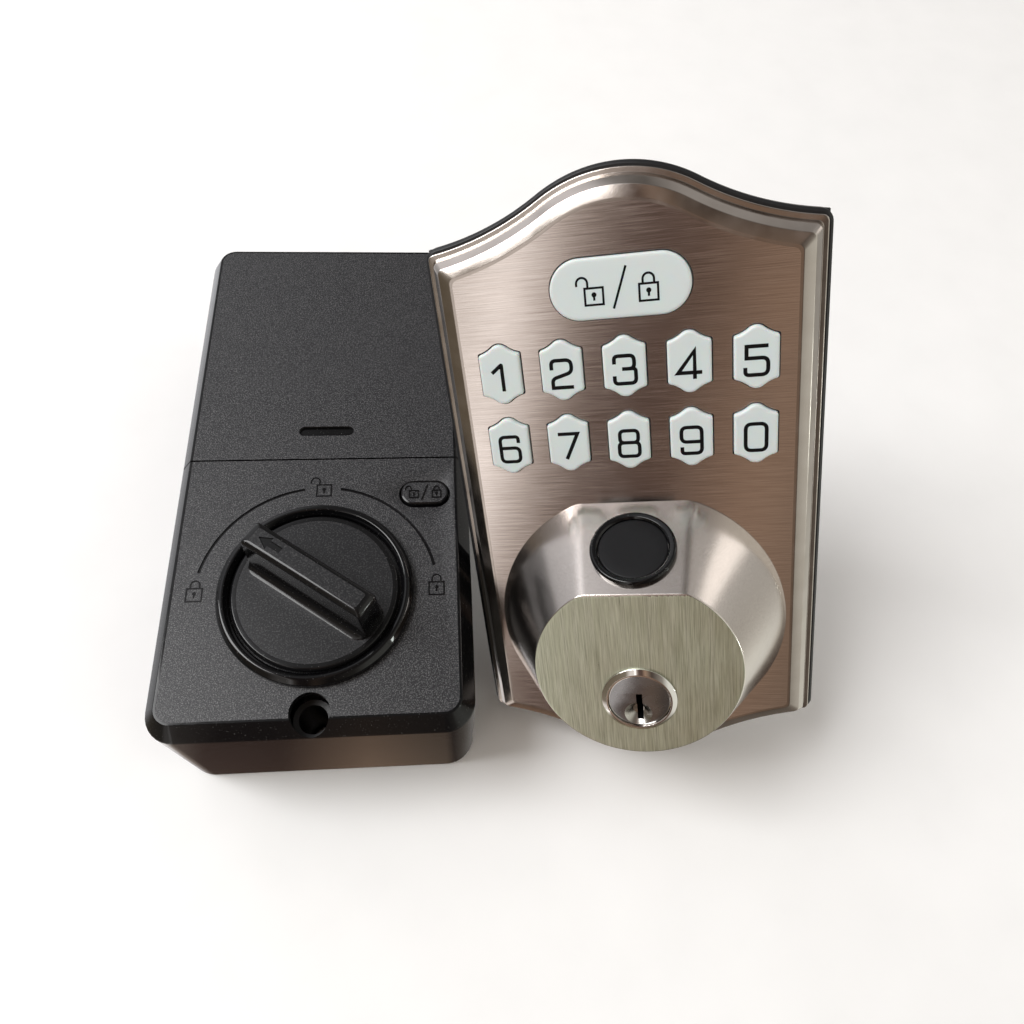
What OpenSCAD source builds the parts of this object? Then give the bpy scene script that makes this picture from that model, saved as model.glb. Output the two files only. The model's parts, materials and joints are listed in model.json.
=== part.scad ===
// Keypad smart lock for a door with a 54 mm cross bore. The exterior keypad unit leans on the
// interior thumb-turn unit, which lies on its door side. Lengths are in mm, angles in degrees.
// Interior parts are drawn in place: the turn axis is the Z axis and the door side is z = 0.
// Exterior parts are drawn flat, with the key cylinder on the Z axis and the door side at
// z = 0, and on_exterior() puts them where the unit rests.

/* [Placement] */
// Exterior key cylinder axis at the door side, measured from the interior turn axis
exterior_position = [77.35, -5, 28.5]; // [-10:0.1:100]
// Turns of the exterior unit about X, then Y, then Z
exterior_turn = [55, -15, -7.4]; // [-90:0.1:90]

/* [Exterior plate] */
// Half width of the black rear housing
plate_half_width = 39.4; // [36:0.1:44]
// Half height of the arched outline, from its middle to an apex
plate_half_height = 69.95; // [60:0.05:80]
// Height of the outline's middle above the key cylinder
plate_middle = 33.8; // [20:0.1:45]
// Radius of the convex crown of each arch
plate_crown_radius = 30; // [20:0.5:40]
// Radius of the concave flanks beside the crown
plate_flank_radius = 60; // [40:1:90]
// Angle at which the crown turns into the flank
plate_crown_angle = 31.1; // [20:0.1:40]
// Height of the flat front face above the door
face_height = 10; // [8:0.1:14]
// Thickness of the front face over the pockets
face_thickness = 1.8; // [1.2:0.1:3]
// Height of the seam between the black housing and the metal plate
seam_height = 4; // [3:0.1:6]
// Thickness of the foam gasket
gasket_thickness = 1.2; // [0.8:0.1:3]

/* [Keys] */
// Spacing of the key columns
key_pitch_x = 12.5; // [11:0.1:15]
// Spacing of the two key rows
key_pitch_y = 15.6; // [13:0.1:18]
// Height of the middle of the key rows above the key cylinder
key_middle = 58.5; // [50:0.1:65]
// Half width of a digit key
key_half_width = 4.2; // [3:0.1:5]
// Half height of a digit key at its points
key_half_height = 6.1; // [5:0.1:7]
// Height of a key above the front face
key_stand = 1.1; // [0.3:0.1:1.5]
// Gap round a key in its window
key_gap = 0.3; // [0.2:0.05:0.5]
// Height of the wide lock and unlock key above the key cylinder
toggle_middle = 81.75; // [75:0.05:85]
// Overall length and height of the wide key
toggle_size = [26.8, 11.6]; // [8:0.1:30]

/* [Boss and fingerprint reader] */
// Height of the boss axis above the key cylinder
boss_middle = 6.9; // [0:0.1:12]
// Radius of the boss at the front face
boss_base_radius = 31.9; // [28:0.1:36]
// Radius of the brushed disc on the boss
boss_disc_radius = 21.5; // [18:0.1:26]
// Height of the boss above the front face
boss_height = 20.3; // [15:0.1:26]
// Height of the reader's facet above the key cylinder, where it meets the front face
facet_base = 36.3; // [33:0.1:38]
// Height of the facet above the key cylinder, where it meets the disc
facet_top = 25.6; // [22:0.1:30]
// Thickness of the boss wall
boss_wall = 2.2; // [1.5:0.1:3]
// Distance of the reader's centre up the facet
reader_rise = 12.2; // [10:0.1:14]
// Outer radius of the reader's bezel
reader_radius = 8.9; // [7:0.1:9]

/* [Key cylinder] */
// Radius of the plug
plug_radius = 6.45; // [5:0.05:8]
// Radius of the polished collar
collar_radius = 7.9; // [7:0.1:9]
// Radial running gap of the plug in its body
running_gap = 0.05; // [0.02:0.01:0.1]
// Number of pin stacks
pin_count = 5; // [4:1:7]
// Distance from the door side to the tip of the tailpiece
tail_length = 46.5; // [20:0.1:60]
// Width and thickness of the tailpiece
tail_size = [2, 6]; // [1:0.1:8]
// Half distance between the two through bolts
bolt_half_spacing = 19; // [15:0.5:22]

/* [Interior housing] */
// Half width of the interior housing
case_half_width = 35.5; // [30:0.1:40]
// Lowest and highest point of the interior housing beside the turn axis
case_span = [-31.9, 109.7]; // [-40:0.1:120]
// Depth of the interior housing from the door to its face
case_depth = 38.6; // [30:0.1:45]
// Radius of the housing's corners
case_corner = 6.9; // [4:0.1:10]
// Width and depth of the bevel round the face
case_bevel = [2.9, 4.1]; // [1:0.1:6]
// Wall thickness of the covers
case_wall = 2.2; // [1.6:0.1:3]
// Height of the seam between the front cover and the battery cover
split_height = 35.9; // [30:0.1:45]
// Width of the seam between the two covers
split_gap = 0.4; // [0.3:0.05:0.8]

/* [Thumb turn] */
// Outer radius of the glossy ring
ring_radius = 22.1; // [18:0.1:26]
// Height of the glossy ring above the face
ring_height = 2.75; // [2:0.05:4]
// Radius of the turning disc
turn_radius = 18.9; // [15:0.1:20]
// Height of the lever above the face
lever_height = 14.4; // [10:0.1:18]
// Length of the lever along its top
lever_length = 32.6; // [25:0.1:36]
// Width of the lever along its top
lever_width = 6.1; // [4:0.1:9]
// Direction of the lever's arrow at rest
lever_angle = 145; // [0:1:360]

/* [Gears and motor] */
// Tooth size of all the gears
gear_module = 0.8; // [0.5:0.1:1]
// Teeth of the gear on the turn shaft
output_teeth = 40; // [30:1:48]
// Teeth of the idler's pinion
pinion_teeth = 12; // [10:1:16]
// Teeth of the idler's worm wheel
wheel_teeth = 24; // [18:1:30]
// Position of the idler shaft beside the turn axis
idler_position = [10.4, 18.1]; // [0:0.1:30]
// Position of the worm's axis to the right of the turn axis
worm_offset = 23.4; // [18:0.1:28]
// Height of the worm's axis above the door
worm_height = 16; // [12:0.1:20]

/* [Batteries] */
// Radius of a battery
battery_radius = 7.15; // [6:0.05:8]
// Length of a battery without its terminal
battery_length = 49.2; // [40:0.1:52]
// Spacing of the batteries
battery_pitch = 15; // [14.5:0.1:16]

/* [Hidden] */
$fn = 96;
slack = 0.3;
cut = 1;
screw_radius = 1.2;
screw_hole = 1.25;
screw_clearance = 1.6;
screw_head = [2.6, 1.8];
screw_socket = [1.1, 0.6];
nickel = [0.72, 0.68, 0.63];
polished = [0.85, 0.85, 0.86];
brass = [0.78, 0.62, 0.3];
steel = [0.62, 0.64, 0.66];
dark_plastic = [0.08, 0.08, 0.09];
gloss_black = [0.03, 0.03, 0.035];
clear_key = [0.88, 0.93, 0.95];
board_green = [0.05, 0.3, 0.15];
rubber_grey = [0.25, 0.25, 0.26];
nylon = [0.85, 0.84, 0.78];

// Outlines are [half width, half height, crown radius, flank radius, crown angle]
plate_shape = [plate_half_width, plate_half_height, plate_crown_radius, plate_flank_radius,
               plate_crown_angle];
key_crown_radius = 2.2;
key_flank_radius = 6.7;
key_crown_angle = 40;
key_shape = [key_half_width, key_half_height, key_crown_radius, key_flank_radius,
             key_crown_angle];

// Rim of the metal plate as [inset from the housing's outline, height above the door]
rim_profile = [[1.3, seam_height], [1.3, 5.2], [2.3, 5.2], [2.8, 7.3], [4, 9.1],
               [6.2, face_height]];
rear_face = face_height - face_thickness;
keypad_field = [31, 84];
keypad_crest = [15, 77, 91];
keypad_start = 22;
board_seat = 2.4;
board_thickness = 1.2;
mat_seat = 4.2;
mat_top = 5.9;
mat_thickness = 0.8;
mat_inset = 2;
mat_start = 43;
mat_pad_radius = 2.6;
mat_bar = [18, 5];
dome_radii = [2.4, 1.6];
toggle_dome_offset = 6;
key_flange = [rear_face - slack - 0.9, rear_face - slack];
key_flange_margin = [0.8, 0.6];
key_edge = [0.35, 0.4];
key_top = face_height + key_stand;
plate_screw = [3.8, 3.4];
boss_pocket_radius = 29;
boss_opening_radius = 22;
boss_post_places = [[25.3, 0], [-25.3, 0], [0, -25.3]];
boss_post_radius = 3;
boss_post_height = 7;
boss_post_bore = 6;
boss_top_wall = 2.5;
disc_height = face_height + boss_height;
facet_lean = atan((facet_base - facet_top) / boss_height);
housing_screw_places = [for (x = [-1, 1], y = [-1, 1]) [34.4 * x, plate_middle + 46.2 * y]];
header_middle = 26.4;
header_size = [10, 5.6];
header_wall = 0.8;
header_start = 0.3;
header_depth = 1.6;
header_window = [11.2, 6.8];
gasket_window = [13, 8.4];
gasket_inset = 0.6;
gasket_clearance = [1.6, 0.4];
bezel_rise = [0.7, 1.3];
bezel_chamfer = 0.6;
bezel_depth = 3.2;
bezel_width = 1.7;
bezel_seat = 0.85;
sensor_height = 3.8;
sensor_gap = 0.05;
reader_board = [0.5, 1.2];

cylinder_body_radius = 8.6;
cylinder_nose_radius = 7;
bible_size = [8.4, 17];
pin_pitch = 3.8;
pin_first = 23.2;
pin_radius = 1.4;
chamber_radius = 1.5;
chamber_end = 15.4;
plug_rear = seam_height - 0.4;
plug_front = disc_height + 0.7;
clip_radius = 7.4;
clip_thickness = 1.2;
post_radius = 4.2;
post_reach = 11;
post_thread = [2.1, 16];
collar_gap = 0.1;
collar_slope = [[0, 0.4], [0.5, 1.1]];
keyway_half_width = 0.65;
keyway_span = [-5.5, 1.7];
keyway_floor = 6;
dimple_place = [-0.35, -3.45];
dimple_radii = [1.2, 2.8];
dimple_depth = 1.8;
key_pin = [2.6, 3.6];
driver_pin_length = 3.4;
spring_start = 3.75;
spring_pitch = 1.1;
spring_wire = 0.5;

floor_height = 1.2;
chassis_top = 3.2;
chassis_half_width = 32.8;
bay_start = 40;
bay_floor = [17.4, 18.9];
bay_top = 33.4;
bay_wall = 1.5;
rail_height = 12;
face_hole = [0, -27.4];
face_hole_radii = [4.4, 3.2];
face_hole_depth = 6;
cover_post_radius = 5.8;
cover_post_start = 8;
cover_screw_seat = 12;
cover_screw_length = 9.6;
dial_radii = [27.2, 27.8];
dial_spans = [[13, 81], [99, 168]];
sign_width = 3.8;
sign_places = [[0, 27, true], [-27.3, 0.6, false], [27.3, 0.6, false]];
grip_size = [13.2, 2.3];
grip_offset = 8.4;
grip_depth = 0.7;
guide_rib = [1.5, 50, 1.2];
guide_gap = 0.35;
button_place = [24.7, 25.4];
button_size = [11.5, 6.5];
button_flange = [0.7, 0.9, 1.5];
button_rise = 0.8;
button_stem = [1.5, 4];
button_sign_width = 2.4;
shaft_radius = 6;
turn_floor = case_depth + slack;
turn_top = turn_floor + 1.8;
gear_floor = 5;
gear_width = 4;
wheel_floor = 14;
bridge_height = [22, 24];
worm_radius = 2.75;
worm_throw = 0.7;
worm_pitch = 3.14159 * gear_module;
worm_length = 17.6;
motor_size = [12, 15, 10];
motor_start = -8;
battery_height = 26.6;
battery_start = 46.6;
bay_span = [41.5, 101.7];
main_board_height = 7;

chassis_screw_places = [[-27, -22], [27, -22], [-27, 98], [27, 98]];
bridge_posts = [[-20, 15], [-17, -18], [28, -16], [-14, 31]];
idler_bearing = atan2(idler_position[1], idler_position[0]);

// Place exterior parts where the leaning unit rests
module on_exterior() {
    translate(exterior_position)
        rotate(exterior_turn)
            children();
}

// Frame of the reader's facet: Z leaves the metal, Y points down the facet
module on_facet() {
    translate([0, facet_base, face_height])
        rotate([facet_lean, 0, 0])
            translate([0, 0, reader_rise])
                rotate([-90, 0, 0])
                    children();
}

// Outline with an arch at both ends, concave beside each crown
module arched_outline(shape, inset = 0) {
    crown = shape[2] - inset;
    flank = shape[3] + inset;
    angle = shape[4];
    crown_y = shape[1] - shape[2];
    reach = shape[2] + shape[3];
    tangent_x = crown * sin(angle);
    tangent_y = crown_y + crown * cos(angle);
    difference() {
        square([2 * (shape[0] - inset), 2 * tangent_y], center = true);
        for (x = [-1, 1], y = [-1, 1])
            translate([x * reach * sin(angle), y * (crown_y + reach * cos(angle))])
                circle(r = flank);
    }
    for (y = [-1, 1])
        intersection() {
            translate([0, y * crown_y])
                circle(r = crown);
            translate([0, y * tangent_y])
                square([2 * tangent_x, 2 * crown * (1 - cos(angle))], center = true);
        }
}

// Arched slab whose edge follows a profile of [inset, height] pairs, from its base to its top
module arched_slab(shape, profile) {
    crown_y = shape[1] - shape[2];
    reach = shape[2] + shape[3];
    angle = shape[4];
    last = len(profile) - 1;
    base = profile[0];
    top = profile[last];
    spread = (top[0] - profile[last - 1][0]) / (top[1] - profile[last - 1][1]) * cut;
    side = [for (p = profile) [shape[0] - p[0], p[1]]];
    shoulder = [for (p = profile) [crown_y + (shape[2] - p[0]) * cos(angle), p[1]]];
    difference() {
        intersection() {
            rotate([90, 0, 0])
                linear_extrude(2 * shape[1], center = true)
                    polygon(both_sides(side));
            rotate([90, 0, 90])
                linear_extrude(2 * shape[0], center = true)
                    polygon(both_sides(shoulder));
        }
        for (x = [-1, 1], y = [-1, 1])
            translate([x * reach * sin(angle), y * (crown_y + reach * cos(angle)), 0])
                rotate_extrude()
                    polygon(concat([[0, base[1] - cut], [shape[3] + base[0], base[1] - cut]],
                                   [for (i = [1:last - 1]) [shape[3] + profile[i][0],
                                                            profile[i][1]]],
                                   [[shape[3] + top[0] + spread, top[1] + cut],
                                    [0, top[1] + cut]]));
    }
    for (y = [-1, 1])
        intersection() {
            translate([0, y * crown_y, 0])
                rotate_extrude()
                    polygon(concat([[0, base[1]]], [for (p = profile) [shape[2] - p[0], p[1]]],
                                   [[0, top[1]]]));
            rotate([90, 0, 90])
                linear_extrude(2 * shape[2], center = true)
                    polygon(concat([for (p = shoulder) [y * p[0], p[1]]],
                                   [[y * shape[1], top[1]], [y * shape[1], base[1]]]));
        }
}

// Outline points on one side, joined by their mirror images on the other
function both_sides(points) =
    concat(points, [for (i = [len(points) - 1:-1:0]) [-points[i][0], points[i][1]]]);

// Round-ended bar outline
module pill(size, grow = 0) {
    radius = size[1] / 2 + grow;
    offset_x = size[0] / 2 - size[1] / 2;
    square([2 * offset_x, 2 * radius], center = true);
    for (x = [-1, 1])
        translate([x * offset_x, 0])
            circle(r = radius);
}

// Stepped panel behind the keys, shrunk by an inset and cut off below a start height
module keypad_panel(inset, start) {
    translate([inset - keypad_field[0], start])
        square([2 * (keypad_field[0] - inset), keypad_field[1] - inset - start]);
    translate([inset - keypad_crest[0], keypad_crest[1]])
        square([2 * (keypad_crest[0] - inset), keypad_crest[2] - inset - keypad_crest[1]]);
}

// Padlock sign in thin lines, with its shackle closed or swung open to the left
module padlock(width, is_open) {
    line = 0.1 * width;
    shackle = 0.3 * width;
    shackle_x = is_open ? -0.5 * width : 0;
    difference() {
        square([width, 0.8 * width], center = true);
        square([width - 2 * line, 0.8 * width - 2 * line], center = true);
    }
    square([line, 0.3 * width], center = true);
    translate([shackle_x, 0.55 * width])
        difference() {
            circle(r = shackle);
            circle(r = shackle - line);
            translate([-width, -2 * width])
                square([2 * width, 2 * width]);
        }
    for (x = is_open ? [1] : [-1, 1])
        translate([shackle_x + x * (shackle - line / 2), 0.46 * width])
            square([line, 0.2 * width], center = true);
}

// Place for each digit key, counted from 0 at the upper left
function key_place(index) = [(index % 5 - 2) * key_pitch_x,
                             key_middle + (index < 5 ? 0.5 : -0.5) * key_pitch_y];

// Screw with its head resting at z = 0 and its shank pointing down
module screw(length) {
    cylinder(h = screw_head[1], r = screw_head[0]);
    translate([0, 0, -length])
        cylinder(h = length, r = screw_radius);
    translate([0, 0, screw_head[1] - screw_socket[1]])
        difference() {
            cylinder(h = screw_socket[1], r = screw_head[0] * 0.9);
            cylinder(h = cut, r = screw_socket[0], $fn = 6);
        }
}

// Metal front plate with its rim, key windows and rear pockets
module ext_escutcheon() {
    color(nickel) on_exterior() difference() {
        translate([0, plate_middle, 0])
            arched_slab(plate_shape, rim_profile);
        translate([0, 0, seam_height - cut])
            linear_extrude(rear_face - seam_height + cut)
                keypad_panel(0, keypad_start);
        translate([0, boss_middle, seam_height - cut])
            cylinder(h = rear_face - seam_height + cut, r = boss_pocket_radius);
        translate([0, boss_middle, seam_height])
            cylinder(h = face_height, r = boss_opening_radius);
        for (index = [0:9])
            translate([key_place(index)[0], key_place(index)[1], seam_height])
                linear_extrude(face_height)
                    arched_outline(key_shape, -key_gap);
        translate([0, toggle_middle, seam_height])
            linear_extrude(face_height)
                pill(toggle_size, key_gap);
        for (place = boss_post_places)
            translate([place[0], boss_middle + place[1], seam_height])
                cylinder(h = face_height, r = screw_clearance);
        for (place = housing_screw_places)
            translate([place[0], place[1], seam_height - cut])
                cylinder(h = plate_screw[1] + cut, r = screw_hole);
    }
}

// Boss body, or the hollow inside it when a wall is given
module boss_cone(wall, top_wall) {
    slant = sqrt(1 + pow((boss_base_radius - boss_disc_radius) / boss_height, 2));
    height = boss_height - top_wall;
    top_radius = boss_base_radius - (boss_base_radius - boss_disc_radius) * height / boss_height;
    difference() {
        translate([0, boss_middle, face_height])
            cylinder(h = height, r1 = boss_base_radius - wall * slant,
                     r2 = top_radius - wall * slant);
        on_facet()
            translate([-boss_base_radius, -boss_base_radius, -wall])
                cube(2 * boss_base_radius);
    }
}

// Conical boss with the reader's facet, hollow behind, with three screw posts
module ext_boss() {
    color(nickel) on_exterior() difference() {
        union() {
            difference() {
                boss_cone(0, 0);
                boss_cone(boss_wall, boss_top_wall);
            }
            for (place = boss_post_places)
                translate([place[0], boss_middle + place[1], face_height])
                    cylinder(h = boss_post_height, r = boss_post_radius);
        }
        for (place = boss_post_places)
            translate([place[0], boss_middle + place[1], face_height - cut])
                cylinder(h = boss_post_bore + cut, r = screw_hole);
        on_facet()
            cylinder(h = 4 * boss_wall, r = reader_radius - bezel_seat + running_gap,
                     center = true);
        translate([0, 0, disc_height - boss_top_wall - cut])
            cylinder(h = boss_top_wall + 2 * cut, r = cylinder_nose_radius + running_gap);
    }
}

// Black rear housing behind the metal plate
module ext_back_housing() {
    color(gloss_black) on_exterior() difference() {
        translate([0, plate_middle, gasket_thickness])
            linear_extrude(seam_height - gasket_thickness)
                arched_outline(plate_shape);
        translate([0, 0, board_seat])
            linear_extrude(seam_height)
                keypad_panel(0.5, keypad_start);
        cylinder(h = seam_height + cut, r = clip_radius + 0.5);
        for (x = [-1, 1])
            translate([x * bolt_half_spacing, 0, 0])
                cylinder(h = seam_height + cut, r = post_radius + running_gap);
        translate([-header_window[0] / 2, header_middle - header_window[1] / 2, 0])
            cube([header_window[0], header_window[1], seam_height]);
        for (place = housing_screw_places)
            translate([place[0], place[1], gasket_thickness - cut]) {
                cylinder(h = seam_height, r = screw_clearance);
                cylinder(h = screw_head[1] + cut, r = screw_head[0] + slack);
            }
    }
}

// Foam gasket against the door
module ext_gasket() {
    color(rubber_grey) on_exterior() difference() {
        translate([0, plate_middle, 0])
            linear_extrude(gasket_thickness)
                arched_outline(plate_shape, gasket_inset);
        translate([0, 0, -cut])
            cylinder(h = seam_height, r = clip_radius + gasket_clearance[0]);
        for (x = [-1, 1])
            translate([x * bolt_half_spacing, 0, -cut])
                cylinder(h = seam_height, r = post_radius + gasket_clearance[1]);
        translate([-gasket_window[0] / 2, header_middle - gasket_window[1] / 2, -cut])
            cube([gasket_window[0], gasket_window[1], seam_height]);
    }
}

// Two threaded posts that take the through bolts
module bolt_posts() {
    color(steel) on_exterior()
        for (x = [-1, 1])
            translate([x * bolt_half_spacing, 0, -post_reach])
                difference() {
                    cylinder(h = post_reach + rear_face, r = post_radius);
                    translate([0, 0, -cut])
                        cylinder(h = post_thread[1] + cut, r = post_thread[0]);
                }
}

// Screws from the rear housing into the plate, and from behind the plate into the boss
module ext_screws() {
    color(steel) on_exterior() {
        for (place = housing_screw_places)
            translate([place[0], place[1], gasket_thickness + screw_head[1]])
                rotate([180, 0, 0])
                    screw(plate_screw[0]);
        for (place = boss_post_places)
            translate([place[0], boss_middle + place[1], rear_face])
                rotate([180, 0, 0])
                    screw(boss_post_height);
    }
}

// One digit key with its retaining flange
module digit_key(index) {
    color(clear_key) on_exterior()
        translate([key_place(index)[0], key_place(index)[1], 0]) {
            translate([0, 0, key_flange[0]])
                linear_extrude(key_top - key_edge[1] - key_flange[0])
                    arched_outline(key_shape);
            translate([0, 0, key_top - key_edge[1]])
                linear_extrude(key_edge[1])
                    arched_outline(key_shape, key_edge[0]);
            translate([-key_half_width - key_flange_margin[0],
                       -key_half_height - key_flange_margin[1], key_flange[0]])
                cube([2 * (key_half_width + key_flange_margin[0]),
                      2 * (key_half_height + key_flange_margin[1]),
                      key_flange[1] - key_flange[0]]);
        }
}

module key_1() { digit_key(0); }
module key_2() { digit_key(1); }
module key_3() { digit_key(2); }
module key_4() { digit_key(3); }
module key_5() { digit_key(4); }
module key_6() { digit_key(5); }
module key_7() { digit_key(6); }
module key_8() { digit_key(7); }
module key_9() { digit_key(8); }
module key_0() { digit_key(9); }

// Wide key that locks and unlocks
module key_lock_toggle() {
    color(clear_key) on_exterior()
        translate([0, toggle_middle, 0]) {
            translate([0, 0, key_flange[0]])
                linear_extrude(key_top - key_edge[1] - key_flange[0])
                    pill(toggle_size);
            translate([0, 0, key_top - key_edge[1]])
                linear_extrude(key_edge[1])
                    pill(toggle_size, -key_edge[0]);
            translate([0, 0, key_flange[0]])
                linear_extrude(key_flange[1] - key_flange[0])
                    pill(toggle_size, key_flange_margin[0]);
        }
}

// Silicone mat with a raised pad under every key
module keypad_mat() {
    color(rubber_grey) on_exterior() {
        translate([0, 0, mat_seat])
            linear_extrude(mat_thickness)
                keypad_panel(mat_inset, mat_start);
        for (index = [0:9])
            translate([key_place(index)[0], key_place(index)[1], mat_seat])
                cylinder(h = mat_top - mat_seat, r = mat_pad_radius);
        translate([0, toggle_middle, mat_seat])
            linear_extrude(mat_top - mat_seat)
                pill(mat_bar);
    }
}

// Metal domes that the keys press on the board
module keypad_switches() {
    base = board_seat + board_thickness;
    places = concat([for (index = [0:9]) key_place(index)],
                    [for (x = [-1, 1]) [x * toggle_dome_offset, toggle_middle]]);
    color(steel) on_exterior()
        for (place = places)
            translate([place[0], place[1], base])
                cylinder(h = mat_seat - base, r1 = dome_radii[0], r2 = dome_radii[1]);
}

// Keypad circuit board in the rear housing
module keypad_pcb() {
    color(board_green) on_exterior()
        translate([0, 0, board_seat])
            linear_extrude(board_thickness)
                keypad_panel(1, keypad_start + 0.5);
}

// Header for the cable, on the door side of the keypad board
module ext_header() {
    color(nylon) on_exterior() difference() {
        translate([-header_size[0] / 2, header_middle - header_size[1] / 2, header_start])
            cube([header_size[0], header_size[1], board_seat - header_start]);
        translate([header_wall - header_size[0] / 2,
                   header_middle + header_wall - header_size[1] / 2, 0])
            cube([header_size[0] - 2 * header_wall, header_size[1] - 2 * header_wall,
                  header_depth]);
    }
}

// Bezel round the fingerprint reader
module fingerprint_bezel() {
    color(gloss_black) on_exterior() on_facet() difference() {
        union() {
            cylinder(h = bezel_rise[0], r = reader_radius);
            translate([0, 0, bezel_rise[0]])
                cylinder(h = bezel_rise[1] - bezel_rise[0], r1 = reader_radius,
                         r2 = reader_radius - bezel_chamfer);
            translate([0, 0, -bezel_depth])
                cylinder(h = bezel_depth, r = reader_radius - bezel_seat);
        }
        translate([0, 0, -bezel_depth - cut])
            cylinder(h = bezel_depth + bezel_rise[1] + 2 * cut, r = reader_radius - bezel_width);
    }
}

// Touch surface of the fingerprint reader
module fingerprint_sensor() {
    color(dark_plastic) on_exterior() on_facet()
        translate([0, 0, -bezel_depth])
            cylinder(h = sensor_height, r = reader_radius - bezel_width - sensor_gap);
}

// Board behind the fingerprint reader
module fingerprint_pcb() {
    color(board_green) on_exterior() on_facet()
        translate([0, 0, -bezel_depth - reader_board[1]])
            cylinder(h = reader_board[1], r = reader_radius - reader_board[0]);
}

// Fixed body of the key cylinder with its pin tower
module lock_cylinder_body() {
    color(brass) on_exterior() difference() {
        union() {
            translate([0, 0, seam_height])
                cylinder(h = disc_height - boss_top_wall - seam_height, r = cylinder_body_radius);
            translate([0, 0, seam_height])
                cylinder(h = boss_height + face_height - seam_height, r = cylinder_nose_radius);
            translate([-bible_size[0] / 2, 0, seam_height])
                cube([bible_size[0], bible_size[1], pin_first + pin_pitch - seam_height]);
        }
        translate([0, 0, seam_height - cut])
            cylinder(h = disc_height, r = plug_radius + running_gap);
        for (i = [0:pin_count - 1])
            translate([0, 0, pin_first - i * pin_pitch])
                rotate([-90, 0, 0])
                    cylinder(h = chamber_end, r = chamber_radius);
    }
}

// Polished collar round the plug's face
module cylinder_collar() {
    color(polished) on_exterior()
        translate([0, 0, disc_height])
            rotate_extrude()
                polygon([[plug_radius + collar_gap, 0], [collar_radius, 0],
                         [collar_radius - collar_slope[0][0], collar_slope[0][1]],
                         [plug_radius + collar_slope[1][0], collar_slope[1][1]],
                         [plug_radius + collar_gap, collar_slope[1][1]]]);
}

// Turning plug with its keyway and pin holes
module cylinder_plug() {
    color(polished) on_exterior() difference() {
        translate([0, 0, plug_rear])
            cylinder(h = plug_front - plug_rear, r = plug_radius);
        translate([-keyway_half_width, keyway_span[0], keyway_floor])
            cube([2 * keyway_half_width, keyway_span[1] - keyway_span[0], plug_front]);
        translate([dimple_place[0], dimple_place[1], plug_front - dimple_depth])
            cylinder(h = dimple_depth, r1 = dimple_radii[0], r2 = dimple_radii[1]);
        for (i = [0:pin_count - 1])
            translate([0, 1, pin_first - i * pin_pitch])
                rotate([-90, 0, 0])
                    cylinder(h = plug_radius, r = chamber_radius);
    }
}

// Key pins inside the plug, lifted to the shear line
module key_pins() {
    color(brass) on_exterior()
        for (i = [0:pin_count - 1])
            translate([0, key_pin[0] + slack * (i % 3), pin_first - i * pin_pitch])
                rotate([-90, 0, 0])
                    cylinder(h = key_pin[1] - slack * (i % 3), r = pin_radius);
}

// Driver pins inside the body, just above the shear line
module driver_pins() {
    color(steel) on_exterior()
        for (i = [0:pin_count - 1])
            translate([0, plug_radius + slack, pin_first - i * pin_pitch])
                rotate([-90, 0, 0])
                    cylinder(h = driver_pin_length, r = pin_radius);
}

// Springs behind the driver pins
module pin_springs() {
    color(steel) on_exterior()
        for (i = [0:pin_count - 1], turn = [0:4])
            translate([0, plug_radius + slack + spring_start + spring_pitch * turn,
                       pin_first - i * pin_pitch])
                rotate([-90, 0, 0])
                    difference() {
                        cylinder(h = spring_wire, r = pin_radius - running_gap);
                        translate([0, 0, -cut])
                            cylinder(h = spring_wire + 2 * cut, r = pin_radius - spring_wire);
                    }
}

// Flat bar that carries the plug's turn to the interior unit
module tailpiece() {
    color(steel) on_exterior()
        translate([-tail_size[0] / 2, -tail_size[1] / 2, -tail_length])
            cube([tail_size[0], tail_size[1], tail_length + plug_rear]);
}

// Cap that keeps the tailpiece and the plug together
module tailpiece_clip() {
    color(brass) on_exterior() difference() {
        translate([0, 0, plug_rear - clip_thickness])
            cylinder(h = clip_thickness, r = clip_radius);
        translate([-tail_size[0] / 2, -tail_size[1] / 2, 0])
            cube([tail_size[0], tail_size[1], plug_rear + cut]);
    }
}

// Outline of the interior housing, shrunk by an inset
module case_outline(inset) {
    radius = case_corner - inset;
    half = case_half_width - inset;
    low = case_span[0] + inset;
    high = case_span[1] - inset;
    translate([-half, low + radius])
        square([2 * half, high - low - 2 * radius]);
    translate([radius - half, low])
        square([2 * (half - radius), high - low]);
    for (x = [radius - half, half - radius], y = [low + radius, high - radius])
        translate([x, y])
            circle(r = radius);
}

// Bevelled slice of the interior housing
module case_bevel_slice(low, high, low_inset, high_inset) {
    half = case_half_width;
    bottom = case_span[0];
    top = case_span[1];
    rotate([90, 0, 0])
        translate([0, 0, case_corner - top])
            linear_extrude(top - bottom - 2 * case_corner)
                polygon([[low_inset - half, low], [half - low_inset, low],
                         [half - high_inset, high], [high_inset - half, high]]);
    translate([case_corner - half, 0, 0])
        rotate([90, 0, 90])
            linear_extrude(2 * (half - case_corner))
                polygon([[bottom + low_inset, low], [top - low_inset, low],
                         [top - high_inset, high], [bottom + high_inset, high]]);
    for (x = [case_corner - half, half - case_corner],
         y = [bottom + case_corner, top - case_corner])
        translate([x, y, low])
            cylinder(h = high - low, r1 = case_corner - low_inset, r2 = case_corner - high_inset);
}

// Hollow interior housing before it is split into two covers
module case_shell() {
    shoulder = case_depth - case_bevel[1];
    difference() {
        union() {
            linear_extrude(shoulder)
                case_outline(0);
            case_bevel_slice(shoulder, case_depth, 0, case_bevel[0]);
        }
        translate([0, 0, -cut])
            linear_extrude(shoulder - case_wall / 2 + cut)
                case_outline(case_wall);
        case_bevel_slice(shoulder - case_wall / 2, case_depth - case_wall, case_wall,
                         case_wall + case_bevel[0] * 0.8);
    }
}

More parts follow.
